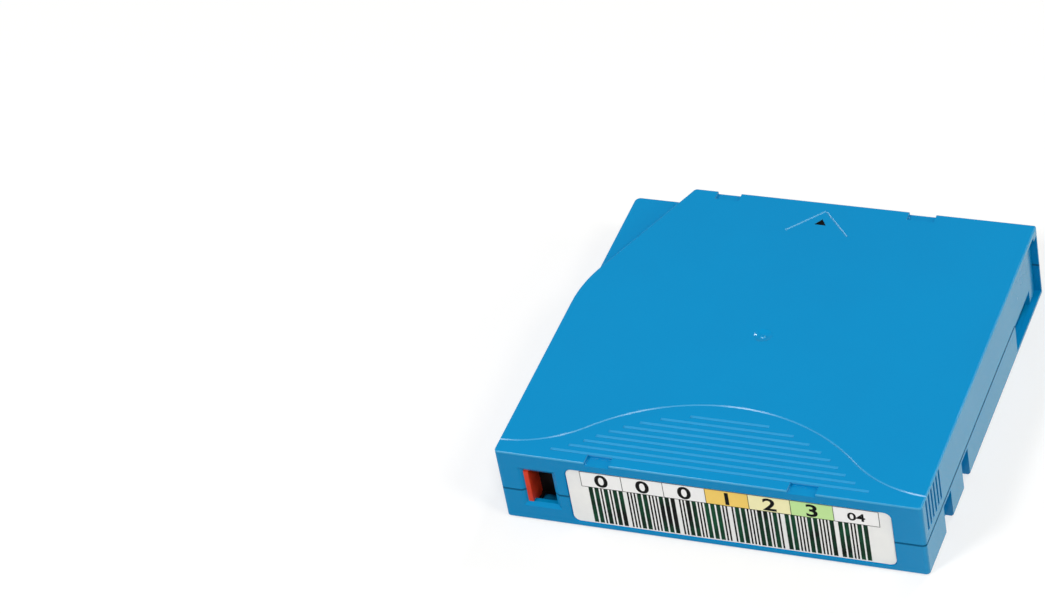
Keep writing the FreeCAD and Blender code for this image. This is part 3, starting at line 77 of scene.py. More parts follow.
class Colour(Enum):
    """Colours of the finishes, as sRGB hex values."""

    CASE = "#008BC6"
    CASE_DEEP = "#0089C4"
    # Pale blue of the painted highlight on the case's upper edges and line walls.
    CASE_EDGE_HIGHLIGHT = "#8CE0F2"
    # Near black, also in the liner behind the switch, where it is painted shade.
    NEAR_BLACK = "#08080A"
    SWITCH = "#E2401F"
    SWITCH_DEEP = "#C4301A"
    PAPER = "#FDFDFB"
    PAPER_SHADE = "#F4F5F5"
    INK = "#050707"
    INK_GREEN = "#0A4A30"
    WHITE_FIELD = "#FFFFFF"
    AMBER_FIELD = "#FFD86E"
    YELLOW_FIELD = "#FFF9C2"
    GREEN_FIELD = "#CBF2A4"
    ZINC = "#B4B8BC"
    SPRING = "#9A9CA0"
    PIN = "#C9CBCE"
    BOARD = "#14603A"
    BOARD_DEEP = "#0F4C2E"
    EPOXY = "#17181A"
    CLIP = "#44474B"
    TAPE = "#1B1513"
    TAPE_WARM = "#2A1E18"
    REEL = "#B9BEC3"
    REEL_DEEP = "#AEB4BA"
    ACETAL = "#E6E6E0"
    COPPER = "#C58A4A"
    FLOOR = "#B4B4B4"


def linear(colour: Colour) -> tuple[float, float, float, float]:
    """Turns an sRGB hex value into linear RGB.

    Args:
        colour: The colour to turn.

    Returns:
        Red, green, blue and an alpha of 1, as Blender's sockets take them.
    """
    parts = [int(colour.value[start:start + 2], 16) / 255 for start in (1, 3, 5)]
    red, green, blue = (
        part / 12.92 if part <= 0.04045 else ((part + 0.055) / 1.055) ** 2.4 for part in parts
    )
    return red, green, blue, 1.0


def add_node(
    tree: bpy.types.NodeTree,
    kind: str,
    values: dict[str | int, object] | None = None,
    links: dict[str | int, bpy.types.NodeSocket] | None = None,
    **settings: object,
) -> bpy.types.Node:
    """Adds a node with its settings and links.

    Args:
        tree: The node tree to add to.
        kind: The node's type name.
        values: Values of input sockets, by name or number.
        links: Output sockets to join to input sockets, by name or number.
        **settings: The node's own properties.

    Returns:
        The new node.
    """
    made = tree.nodes.new(kind)
    for name, value in settings.items():
        setattr(made, name, value)
    for key, value in (values or {}).items():
        made.inputs[key].default_value = value
    for key, source in (links or {}).items():
        tree.links.new(source, made.inputs[key])
    return made


@dataclass(frozen=True)
class Finish:
    """A surface with a fine grain: two near colours, roughness that varies, and a bump."""

    name: str
    colour: Colour
    second: Colour
    roughness: tuple[float, float]
    specular: float = 0.5
    metallic: float = 0.0
    ior: float = 1.5
    patch_mm: float = 18.0
    grain_mm: float = 0.4
    grain_depth_mm: float = 0.01
    grain_stretch: tuple[float, float, float] = (1.0, 1.0, 1.0)
    coat: float = 0.0
    patch_detail: float = 3.0
    patch_roughness: float = 0.6
    grain_detail: float = 2.0
    grain_roughness: float = 0.5
    blend_span: tuple[float, float] = (0.35, 0.65)
    gloss_span: tuple[float, float] = (0.3, 0.7)

    def build(self) -> bpy.types.Material:
        """Makes the material.

        Returns:
            The material, made once and then reused.
        """
        found = bpy.data.materials.get(self.name)
        if found is not None:
            return found
        material = bpy.data.materials.new(self.name)
        material.use_nodes = True
        tree = material.node_tree
        shader = tree.nodes["Principled BSDF"]
        shader.inputs["Metallic"].default_value = self.metallic
        if self.metallic == 0:
            shader.inputs["IOR"].default_value = self.ior
        shader.inputs["Specular IOR Level"].default_value = self.specular
        shader.inputs["Coat Weight"].default_value = self.coat
        place = add_node(tree, "ShaderNodeTexCoord").outputs["Object"]
        patches = add_node(
            tree, "ShaderNodeTexNoise",
            {"Scale": 1 / (self.patch_mm * MM), "Detail": self.patch_detail,
             "Roughness": self.patch_roughness},
            {"Vector": place},
        )
        colour = self.colours(tree, patches.outputs["Fac"])
        stretched = add_node(
            tree, "ShaderNodeMapping", {"Scale": self.grain_stretch}, {"Vector": place})
        grain = add_node(
            tree, "ShaderNodeTexNoise",
            {"Scale": 1 / (self.grain_mm * MM), "Detail": self.grain_detail,
             "Roughness": self.grain_roughness},
            {"Vector": stretched.outputs["Vector"]},
        )
        gloss = add_node(
            tree, "ShaderNodeMapRange",
            {"From Min": self.gloss_span[0], "From Max": self.gloss_span[1],
             "To Min": self.roughness[0], "To Max": self.roughness[1]},
            {"Value": patches.outputs["Fac"]},
        )
        colour, rough = self.marked(tree, place, colour, gloss.outputs["Result"])
        tree.links.new(colour, shader.inputs["Base Color"])
        tree.links.new(rough, shader.inputs["Roughness"])
        relief = add_node(
            tree, "ShaderNodeBump",
            {"Distance": self.grain_depth_mm * MM, "Strength": 1.0},
            {"Height": grain.outputs["Fac"]},
        )
        tree.links.new(relief.outputs["Normal"], shader.inputs["Normal"])
        return material

    def colours(
        self, tree: bpy.types.NodeTree, share: bpy.types.NodeSocket
    ) -> bpy.types.NodeSocket:
        """Blends the two colours by a pattern.

        Args:
            tree: The material's node tree.
            share: The pattern, 0 for the first colour and 1 for the second.

        Returns:
            The blended colour.
        """
        ramp = add_node(tree, "ShaderNodeValToRGB", links={"Fac": share})
        stops = zip(ramp.color_ramp.elements, self.blend_span, (self.colour, self.second))
        for stop, position, colour in stops:
            stop.position = position
            stop.color = linear(colour)
        return ramp.outputs["Color"]

    def marked(
        self, tree: bpy.types.NodeTree, place: bpy.types.NodeSocket,
        colour: bpy.types.NodeSocket, rough: bpy.types.NodeSocket,
    ) -> tuple[bpy.types.NodeSocket, bpy.types.NodeSocket]:
        """Adds marks that lie at a place on the piece; a plain finish has none.

        Args:
            tree: The material's node tree.
            place: The place on the piece.
            colour: The colour so far.
            rough: The roughness so far.

        Returns:
            The colour and the roughness with the marks.
        """
        return colour, rough


@dataclass(frozen=True)
class SeamedFinish(Finish):
    """A finish with painted shade on a dull parting line, a polished gate mark and a painted
    highlight on the upper edges.
    """

    seam_mm: float = 9.5
    seam_half_mm: float = 0.27
    seam_fade_mm: float = 0.06
    seam_shade: float = 0.42
    gate_mm: tuple[float, float, float] = (-1.6, 0.0, 21.5)
    gate_radius_mm: float = 2.3
    gate_gloss: float = 0.55
    gate_fade: float = 0.95
    # Painted highlight: this pale colour is mixed onto the upper edges and the walls of the fine
    # lines.
    edge_highlight: Colour = Colour.CASE_EDGE_HIGHLIGHT
    edge_highlight_share: float = 0.17
    edge_highlight_above_mm: float = 21.0
    edge_highlight_fade_mm: float = 0.05
    edge_highlight_slope: float = 0.92
    edge_highlight_slope_fade: float = 0.18

    def seam(self, tree: bpy.types.NodeTree, height: bpy.types.NodeSocket) -> bpy.types.NodeSocket:
        """Finds the parting line.

        Args:
            tree: The material's node tree.
            height: The place's height on the piece.

        Returns:
            1 on the line and 0 away from it.
        """
        away = add_node(
            tree, "ShaderNodeMath", {1: self.seam_mm * MM}, {0: height}, operation="SUBTRACT")
        distance = add_node(
            tree, "ShaderNodeMath", links={0: away.outputs[0]}, operation="ABSOLUTE")
        return add_node(
            tree, "ShaderNodeMapRange",
            {"From Min": self.seam_half_mm * MM,
             "From Max": (self.seam_half_mm + self.seam_fade_mm) * MM,
             "To Min": 1.0, "To Max": 0.0}, {"Value": distance.outputs[0]}).outputs["Result"]

    def edges(
        self, tree: bpy.types.NodeTree, height: bpy.types.NodeSocket
    ) -> bpy.types.NodeSocket:
        """Finds the upper edges and the walls of the fine lines in the top, where a highlight is
        painted.

        Args:
            tree: The material's node tree.
            height: The place's height on the piece.

        Returns:
            The share of the painted highlight colour there, 0 on level and low faces.
        """
        facing = add_node(tree, "ShaderNodeTexCoord").outputs["Normal"]
        upward = add_node(tree, "ShaderNodeSeparateXYZ", links={"Vector": facing}).outputs["Z"]
        sloping = add_node(
            tree, "ShaderNodeMapRange",
            {"From Min": self.edge_highlight_slope - self.edge_highlight_slope_fade,
             "From Max": self.edge_highlight_slope,
             "To Min": self.edge_highlight_share, "To Max": 0.0}, {"Value": upward})
        above = add_node(
            tree, "ShaderNodeMapRange",
            {"From Min": (self.edge_highlight_above_mm - self.edge_highlight_fade_mm) * MM,
             "From Max": self.edge_highlight_above_mm * MM}, {"Value": height})
        return add_node(
            tree, "ShaderNodeMath",
            links={0: sloping.outputs["Result"], 1: above.outputs["Result"]},
            operation="MULTIPLY").outputs[0]

    def gate(self, tree: bpy.types.NodeTree, place: bpy.types.NodeSocket) -> bpy.types.NodeSocket:
        """Finds the gate mark over the reel.

        Args:
            tree: The material's node tree.
            place: The place on the piece.

        Returns:
            What the roughness is multiplied by: less on the mark, 1 away from it.
        """
        distance = add_node(
            tree, "ShaderNodeVectorMath", {1: Vector(self.gate_mm) * MM}, {0: place},
            operation="DISTANCE")
        return add_node(
            tree, "ShaderNodeMapRange",
            {"From Min": self.gate_radius_mm * self.gate_fade * MM,
             "From Max": self.gate_radius_mm * MM,
             "To Min": self.gate_gloss, "To Max": 1.0},
            {"Value": distance.outputs["Value"]}).outputs["Result"]

    def marked(
        self, tree: bpy.types.NodeTree, place: bpy.types.NodeSocket,
        colour: bpy.types.NodeSocket, rough: bpy.types.NodeSocket,
    ) -> tuple[bpy.types.NodeSocket, bpy.types.NodeSocket]:
        """Paints shade on the parting line and dulls it, polishes the gate mark and paints a
        highlight on the edges.

        Args:
            tree: The material's node tree.
            place: The place on the piece.
            colour: The colour so far.
            rough: The roughness so far.

        Returns:
            The colour and the roughness with the marks.
        """
        height = add_node(tree, "ShaderNodeSeparateXYZ", links={"Vector": place}).outputs["Z"]
        inside = self.seam(tree, height)
        # Painted shade: the colour is darkened along the parting line as if shade fell in the gap;
        # the roughness is raised there too.
        shade = add_node(
            tree, "ShaderNodeMapRange", {"To Min": 1.0, "To Max": self.seam_shade},
            {"Value": inside})
        darker = add_node(
            tree, "ShaderNodeVectorMath", links={0: colour, 1: shade.outputs["Result"]},
            operation="MULTIPLY")
        duller = add_node(
            tree, "ShaderNodeMath", links={0: rough, 1: inside}, operation="ADD", use_clamp=True)
        # Painted highlight: mixes the pale colour onto the upper edges and line walls.
        edge_highlight = add_node(
            tree, "ShaderNodeMix", {"B": linear(self.edge_highlight)},
            {"Factor": self.edges(tree, height), "A": darker.outputs["Vector"]},
            data_type="RGBA")
        glossy = add_node(
            tree, "ShaderNodeMath", links={0: duller.outputs[0], 1: self.gate(tree, place)},
            operation="MULTIPLY")
        return edge_highlight.outputs["Result"], glossy.outputs[0]


# Polycarbonate moulded in a spark-eroded tool: an even, silky blue with a fine grain that
# breaks up the highlights. The real grain is near 0.1 mm and is drawn at 0.35 mm to show.
# The joint between the halves is dull and carries painted shade, darker as if shade fell in the
# gap. The upper edges and the rims of the fine lines carry a painted highlight, a paler blue.
CASE_PLASTIC = SeamedFinish(
    "moulded_polycarbonate_blue", Colour.CASE, Colour.CASE_DEEP, roughness=(0.22, 0.25),
    specular=0.2, ior=1.58, patch_mm=30, grain_mm=0.35, grain_depth_mm=0.012)
# The same blue resin in the door, moulded a little smoother because it slides.
DOOR_PLASTIC = Finish(
    "moulded_polycarbonate_blue_smooth", Colour.CASE, Colour.CASE_DEEP, roughness=(0.26, 0.29),
    specular=0.25, ior=1.58, patch_mm=20, grain_mm=0.5, grain_depth_mm=0.006)
# Acetal switch, dyed red and moulded smooth: warm orange-red with a soft shine.
SWITCH_PLASTIC = Finish(
    "moulded_acetal_red", Colour.SWITCH, Colour.SWITCH_DEEP, roughness=(0.3, 0.38),
    specular=0.4, ior=1.48, patch_mm=6, grain_mm=0.4, grain_depth_mm=0.004)
# Black resin liner behind the switch, dull: its black is painted shade, so the window stays dark
# inside.
LINER_PAINTED_SHADE = Finish(
    "black_liner_painted_shade", Colour.NEAR_BLACK, Colour.EPOXY, roughness=(0.5, 0.6),
    specular=0.2, ior=1.58, patch_mm=5, grain_mm=0.3, grain_depth_mm=0.004)
# Coated label paper: near white, faintly mottled by its fibres, with a dull sheen.
LABEL_PAPER = Finish(
    "coated_paper_white", Colour.PAPER, Colour.PAPER_SHADE, roughness=(0.45, 0.55),
    specular=0.35, ior=1.5, patch_mm=9, grain_mm=0.25, grain_depth_mm=0.003)
# Steel screws with bright zinc plating: pale grey, blurred reflections.
ZINC_PLATE = Finish(
    "zinc_plated_steel", Colour.ZINC, Colour.SPRING, roughness=(0.28, 0.4), metallic=1.0,
    patch_mm=2, grain_mm=0.3, grain_depth_mm=0.002)
# Drawn spring wire: darker grey with fine lines along the wire.
SPRING_WIRE = Finish(
    "drawn_spring_steel", Colour.SPRING, Colour.ZINC, roughness=(0.25, 0.35), metallic=1.0,
    patch_mm=3, grain_mm=0.2, grain_depth_mm=0.002)
# Ground steel leader pin: bright, nearly a mirror, with faint rings.
GROUND_STEEL = Finish(
    "ground_steel", Colour.PIN, Colour.ZINC, roughness=(0.12, 0.2), metallic=1.0,
    patch_mm=4, grain_mm=0.3, grain_depth_mm=0.001, grain_stretch=(0.1, 0.1, 1.0))
# Turned and tumbled washer: grey steel with a ringed, satin look.
TUMBLED_STEEL = Finish(
    "tumbled_steel", Colour.ZINC, Colour.SPRING, roughness=(0.32, 0.45), metallic=1.0,
    patch_mm=5, grain_mm=0.35, grain_depth_mm=0.004)
# Glass-epoxy board under green solder mask: shiny green, mottled by the weave.
SOLDER_MASK = Finish(
    "solder_mask_green", Colour.BOARD, Colour.BOARD_DEEP, roughness=(0.25, 0.35),
    specular=0.5, patch_mm=3, grain_mm=0.5, grain_depth_mm=0.004)
# Black moulded epoxy on the chip: matt, slightly grey.
CHIP_EPOXY = Finish(
    "moulded_epoxy_black", Colour.EPOXY, Colour.CLIP, roughness=(0.5, 0.6),
    specular=0.4, patch_mm=2, grain_mm=0.2, grain_depth_mm=0.004)
# Bare copper of the antenna's turns: warm and dull.
BOARD_COPPER = Finish(
    "etched_copper", Colour.COPPER, Colour.COPPER, roughness=(0.3, 0.45), metallic=1.0,
    patch_mm=2, grain_mm=0.2, grain_depth_mm=0.002)
# Glass-filled nylon clip: dark grey and dry.
CLIP_PLASTIC = Finish(
    "moulded_nylon_grey", Colour.CLIP, Colour.EPOXY, roughness=(0.45, 0.55),
    specular=0.4, patch_mm=4, grain_mm=0.3, grain_depth_mm=0.006)
# The wound pack seen on its edges: hundreds of layers of coated film, a dark brown satin
# with lines that run round the reel. The stretched grain stands for the layers.
TAPE_FILM = Finish(
    "coated_polyester_film", Colour.TAPE, Colour.TAPE_WARM, roughness=(0.2, 0.3),
    specular=0.5, ior=1.6, patch_mm=12, grain_mm=0.35, grain_depth_mm=0.004,
    grain_stretch=(1.0, 1.0, 0.1), coat=0.2)
# Glass-filled polycarbonate reel: cool light grey with a faint flow pattern.
REEL_PLASTIC = Finish(
    "moulded_polycarbonate_grey", Colour.REEL, Colour.REEL_DEEP, roughness=(0.35, 0.45),
    specular=0.45, ior=1.58, patch_mm=14, grain_mm=0.4, grain_depth_mm=0.006)
# Natural acetal in the brake and its release: waxy off-white.
ACETAL = Finish(
    "moulded_acetal_natural", Colour.ACETAL, Colour.PAPER, roughness=(0.3, 0.4),
    specular=0.4, ior=1.48, patch_mm=8, grain_mm=0.4, grain_depth_mm=0.004)
# Resin ink on the label: near black, slightly glossy.
PRINT_INK = Finish(
    "resin_ink_black", Colour.INK, Colour.NEAR_BLACK, roughness=(0.35, 0.45),
    specular=0.15, patch_mm=1.2, grain_mm=0.2, grain_depth_mm=0.001)
# The wide bars' ink: a very dark green, slightly glossy.
BAR_INK = Finish(
    "resin_ink_green", Colour.INK_GREEN, Colour.INK, roughness=(0.35, 0.45),
    specular=0.15, patch_mm=6, grain_mm=0.2, grain_depth_mm=0.001)
# Pad-printed arrow: plain near-black ink, matt.
ARROW_INK = Finish(
    "pad_ink_black", Colour.INK, Colour.NEAR_BLACK, roughness=(0.5, 0.6),
    specular=0.1, patch_mm=2, grain_mm=0.2, grain_depth_mm=0.002)


def field_ink(colour: Colour) -> Finish:
    """Gives the ink of a label's field: an even colour with the paper's dull sheen.

    Args:
        colour: The field's colour.

    Returns:
        The ink's finish.
    """
    return Finish(
        f"printed_field_{colour.name.lower()}", colour, colour, roughness=(0.45, 0.55),
        specular=0.35, patch_mm=5, grain_mm=0.25, grain_depth_mm=0.002)


CAD_FINISHES: dict[str, Finish] = {
    "upper_shell": CASE_PLASTIC,
    "lower_shell": CASE_PLASTIC,
    "barcode_label": LABEL_PAPER,
    "memory_board": SOLDER_MASK,
    "memory_chip": CHIP_EPOXY,
    "access_door": DOOR_PLASTIC,
    "write_protect_switch": SWITCH_PLASTIC,
    "switch_pocket": LINER_PAINTED_SHADE,
    "reel_hub": REEL_PLASTIC,
    "upper_flange": REEL_PLASTIC,
    "drive_plate": TUMBLED_STEEL,
    "tape_pack": TAPE_FILM,
    "tape_leader": TAPE_FILM,
    "leader_pin": GROUND_STEEL,
    "leader_clip": CLIP_PLASTIC,
    "pin_spring_lower": SPRING_WIRE,
    "pin_spring_upper": SPRING_WIRE,
    "brake_button": ACETAL,
    "release_spider": ACETAL,
}


def start_edit(select: str = "DESELECT") -> None:
    """Enters edit mode on the active object.

    Args:
        select: SELECT for all faces, DESELECT for none.
    """
    bpy.ops.object.mode_set(mode="EDIT")
    bpy.ops.mesh.select_mode(type="FACE")
    bpy.ops.mesh.select_all(action=select)


def end_edit() -> None:
    """Goes back to object mode."""
    bpy.ops.object.mode_set(mode="OBJECT")


def end_edit_facing_out() -> None:
    """Turns every face outwards and goes back to object mode."""
    bpy.ops.mesh.select_all(action="SELECT")
    bpy.ops.mesh.normals_make_consistent(inside=False)
    end_edit()


def deselect() -> None:
    """Deselects every object."""
    bpy.ops.object.select_all(action="DESELECT")


def only(piece: bpy.types.Object) -> None:
    """Makes one object the selected and active one.

    Args:
        piece: The object.
    """
    deselect()
    piece.select_set(True)
    bpy.context.view_layer.objects.active = piece


def new_piece() -> bpy.types.Object:
    """Bakes the place, turn and scale of the object just made into its mesh.

    Returns:
        The object.
    """
    bpy.ops.object.transform_apply(location=True, rotation=True, scale=True)
    return bpy.context.object


def pick_faces(piece: bpy.types.Object, towards: Vector, least: float = 0.9) -> None:
    """Selects the faces of a mesh that look one way. Object mode is on before and after.

    Args:
        piece: The mesh object.
        towards: The direction, of length 1.
        least: The least cosine between a face's normal and the direction.
    """
    for face in piece.data.polygons:
        face.select = face.normal.dot(towards) > least


def apply_modifier(piece: bpy.types.Object, kind: str, **settings: object) -> None:
    """Adds a modifier with its settings and applies it.

    Args:
        piece: The mesh object.
        kind: The modifier's type name.
        **settings: The modifier's own properties.
    """
    only(piece)
    modifier = piece.modifiers.new(kind.lower(), kind)
    for name, value in settings.items():
        setattr(modifier, name, value)
    bpy.ops.object.modifier_apply(modifier=modifier.name)


def join(pieces: Sequence[bpy.types.Object]) -> bpy.types.Object:
    """Joins mesh objects into the first one.

    Args:
        pieces: The objects to join.

    Returns:
        The first object, which now holds them all.
    """
    deselect()
    for piece in pieces:
        piece.select_set(True)
    bpy.context.view_layer.objects.active = pieces[0]
    if len(pieces) > 1:
        bpy.ops.object.join()
    return pieces[0]


def copy_of(piece: bpy.types.Object, place: Matrix) -> bpy.types.Object:
    """Copies an object with its own mesh, and moves the mesh.

    Args:
        piece: The object to copy.
        place: The move, turn and scale that the copy's mesh gets.

    Returns:
        The copy.
    """
    made = piece.copy()
    made.data = piece.data.copy()
    made.data.transform(place)
    bpy.context.collection.objects.link(made)
    return made


def settle(
    piece: bpy.types.Object,
    name: str,
    finish: Finish,
    body: Body,
    smooth_angle: float = 30.0,
) -> bpy.types.Object:
    """Finishes a piece: place in its mesh, smooth shading, material and body.

    Args:
        piece: The mesh object.
        name: The name it gets.
        finish: Its finish.
        body: The body it moves with.
        smooth_angle: Edges that turn by less than this many degrees are shaded smooth.

    Returns:
        The finished object.
    """
    only(piece)
    bpy.ops.object.transform_apply(location=True, rotation=True, scale=True)
    bpy.ops.object.shade_smooth_by_angle(angle=math.radians(smooth_angle))
    piece.name = name
    piece.data.name = name
    piece.data.materials.clear()
    piece.data.materials.append(finish.build())
    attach(piece, body.value)
    LOG.info("%s: %d faces on %s", name, len(piece.data.polygons), body.value)
    return piece


@dataclass
class Coil:
    """A coil spring of round wire, wound along Z from its base."""

    radius: float
    wire: float
    turns: float
    length: float
    steps: int = 28
    wire_sides: int = 10

    def build(self) -> bpy.types.Object:
        """Models the spring.

        Returns:
            The spring's object, with its base at z 0.
        """
        deselect()
        half = self.wire / 2
        bpy.ops.mesh.primitive_circle_add(
            vertices=self.wire_sides, radius=half * MM, location=(self.radius * MM, 0, half * MM),
            rotation=(math.pi / 2, 0, 0))
        piece = new_piece()
        apply_modifier(
            piece, "SCREW", axis="Z", angle=2 * math.pi * self.turns,
            screw_offset=(self.length - self.wire) * MM, iterations=1,
            steps=round(self.steps * self.turns), render_steps=round(self.steps * self.turns),
            use_smooth_shade=True)
        start_edit("SELECT")
        bpy.ops.mesh.fill_holes(sides=self.wire_sides)
        bpy.ops.mesh.normals_make_consistent(inside=False)
        end_edit()
        return piece


@dataclass
class Springs:
    """The door's and the brake's coil springs."""

    door_coil: Coil
    brake_coil: Coil
    door_x: float = 49.65
    door_y: float = -12.4
    door_z: float = 6.3
    door_keep: float = 0.514
    brake_x: float = -1.6
    brake_z: float = 10.2
    brake_top: float = 19.7
    brake_keep: float = 0.842
    smooth_angle: float = 60.0

    def build(self) -> None:
        """Builds both springs, sets them on the case and hides the CAD springs."""
        door = self.door_coil.build()
        door.data.transform(
            Matrix.Translation(Vector((self.door_x, self.door_y, self.door_z)) * MM)
            @ Matrix.Rotation(-math.pi / 2, 4, "X"))
        settle(door, "door_spring_coil", SPRING_WIRE, Body.CASE,
               self.smooth_angle)
        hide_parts("door_spring")
        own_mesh(door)
        brake = self.brake_coil.build()
        brake.data.transform(Matrix.Translation(Vector((self.brake_x, 0, self.brake_z)) * MM))
        settle(brake, "brake_spring_coil", SPRING_WIRE, Body.CASE,
               self.smooth_angle)
        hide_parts("brake_spring")
        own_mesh(brake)


@dataclass
class Screws:
    """Four self-tapping screws under the case, with a six-lobed recess in each head."""

    places: tuple[tuple[float, float], ...] = (
        (-34.5, -45.2), (46.6, -45.2), (-46.0, 43.0), (33.0, 46.0))
    head_radius: float = 2.1
    head_base: float = 1.4
    head_height: float = 1.3
    shank_radius: float = 1.1
    shank_top: float = 13.0
    recess_radius: float = 1.05
    recess_depth: float = 0.8
    recess_round: float = 0.12
    recess_round_steps: int = 2
    recess_round_angle: float = 25.0
    head_round: float = 0.35
    head_round_steps: int = 4
    head_sides: int = 40
    shank_sides: int = 24
    lobes: int = 6
    lobe_share: float = 0.7
    point_share: float = 0.5
    point_length: float = 1.0
    thread_depth: float = 0.3
    thread_pitch: float = 1.0
    thread_steps: int = 18

    def recess(self) -> bpy.types.Object:
        """Makes the cutter for the six-lobed recess.

        Returns:
            The cutter's object.
        """
        deselect()
        bpy.ops.mesh.primitive_cylinder_add(
            vertices=2 * self.lobes, radius=self.recess_radius * MM,
            depth=2 * self.recess_depth * MM,
            location=(0, 0, self.head_base * MM))
        piece = new_piece()
        start_edit()
        bpy.ops.mesh.select_mode(type="VERT")
        end_edit()
        for vertex in piece.data.vertices:
            turn = round(math.atan2(vertex.co.x, vertex.co.y) / math.pi * self.lobes)
            vertex.select = turn % 2 == 1
        bpy.ops.object.mode_set(mode="EDIT")
        bpy.ops.transform.resize(
            value=(self.lobe_share, self.lobe_share, 1), center_override=(0, 0, 0))
        end_edit()
        apply_modifier(
            piece, "BEVEL", width=self.recess_round * MM, segments=self.recess_round_steps,
            limit_method="ANGLE", angle_limit=math.radians(self.recess_round_angle),
            affect="EDGES")
        return piece

    def head(self) -> bpy.types.Object:
        """Models the pan head, with its recess and a rounded rim.

        Returns:
            The head's object.
        """
        deselect()
        bpy.ops.mesh.primitive_cylinder_add(
            vertices=self.head_sides, radius=self.head_radius * MM, depth=self.head_height * MM,
            location=(0, 0, (self.head_base + self.head_height / 2) * MM))
        piece = new_piece()
        apply_modifier(
            piece, "BEVEL", width=self.head_round * MM, segments=self.head_round_steps,
            limit_method="ANGLE")
        cutter = self.recess()
        apply_modifier(piece, "BOOLEAN", operation="DIFFERENCE", object=cutter, solver="EXACT")
        bpy.data.objects.remove(cutter)
        return piece

    def shank(self) -> bpy.types.Object:
        """Models the shank with its thread and a cut point.

        Returns:
            The shank's object.
        """
        deselect()
        base = self.head_base + self.head_height / 2
        core = self.shank_radius - self.thread_depth
        bpy.ops.mesh.primitive_cylinder_add(
            vertices=self.shank_sides, radius=core * MM, depth=(self.shank_top - base) * MM,
            location=(0, 0, (self.shank_top + base) / 2 * MM))
        rod = new_piece()
        pick_faces(rod, Vector((0, 0, 1)))
        bpy.ops.object.mode_set(mode="EDIT")
        bpy.ops.transform.resize(value=(self.point_share, self.point_share, 1))
        end_edit()
        deselect()
        bpy.ops.mesh.primitive_circle_add(
            vertices=3, radius=self.thread_depth * MM,
            location=(core * MM, 0, (self.head_base + self.head_height + self.thread_depth) * MM),
            rotation=(math.pi / 2, 0, 0))
        thread = new_piece()
        threaded = self.shank_top - self.head_base - self.head_height - self.point_length
        apply_modifier(thread, "SCREW", axis="Z", angle=2 * math.pi,
                       screw_offset=self.thread_pitch * MM,
                       iterations=int(threaded / self.thread_pitch),
                       steps=self.thread_steps, render_steps=self.thread_steps)
        start_edit("SELECT")
        bpy.ops.mesh.remove_doubles(threshold=0.001 * MM)
        bpy.ops.mesh.fill_holes(sides=3)
        bpy.ops.mesh.normals_make_consistent(inside=False)
        end_edit()
        return join([rod, thread])

    def build(self) -> None:
        """Builds one screw and sets a copy at each place."""
        model = join([self.head(), self.shank()])
        copies = [
            copy_of(model, Matrix.Translation(Vector((x, y, 0)) * MM)) for x, y in self.places
        ]
        bpy.data.objects.remove(model)
        settle(join(copies), "case_screws_zinc", ZINC_PLATE, Body.CASE)
        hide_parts("case_screws")


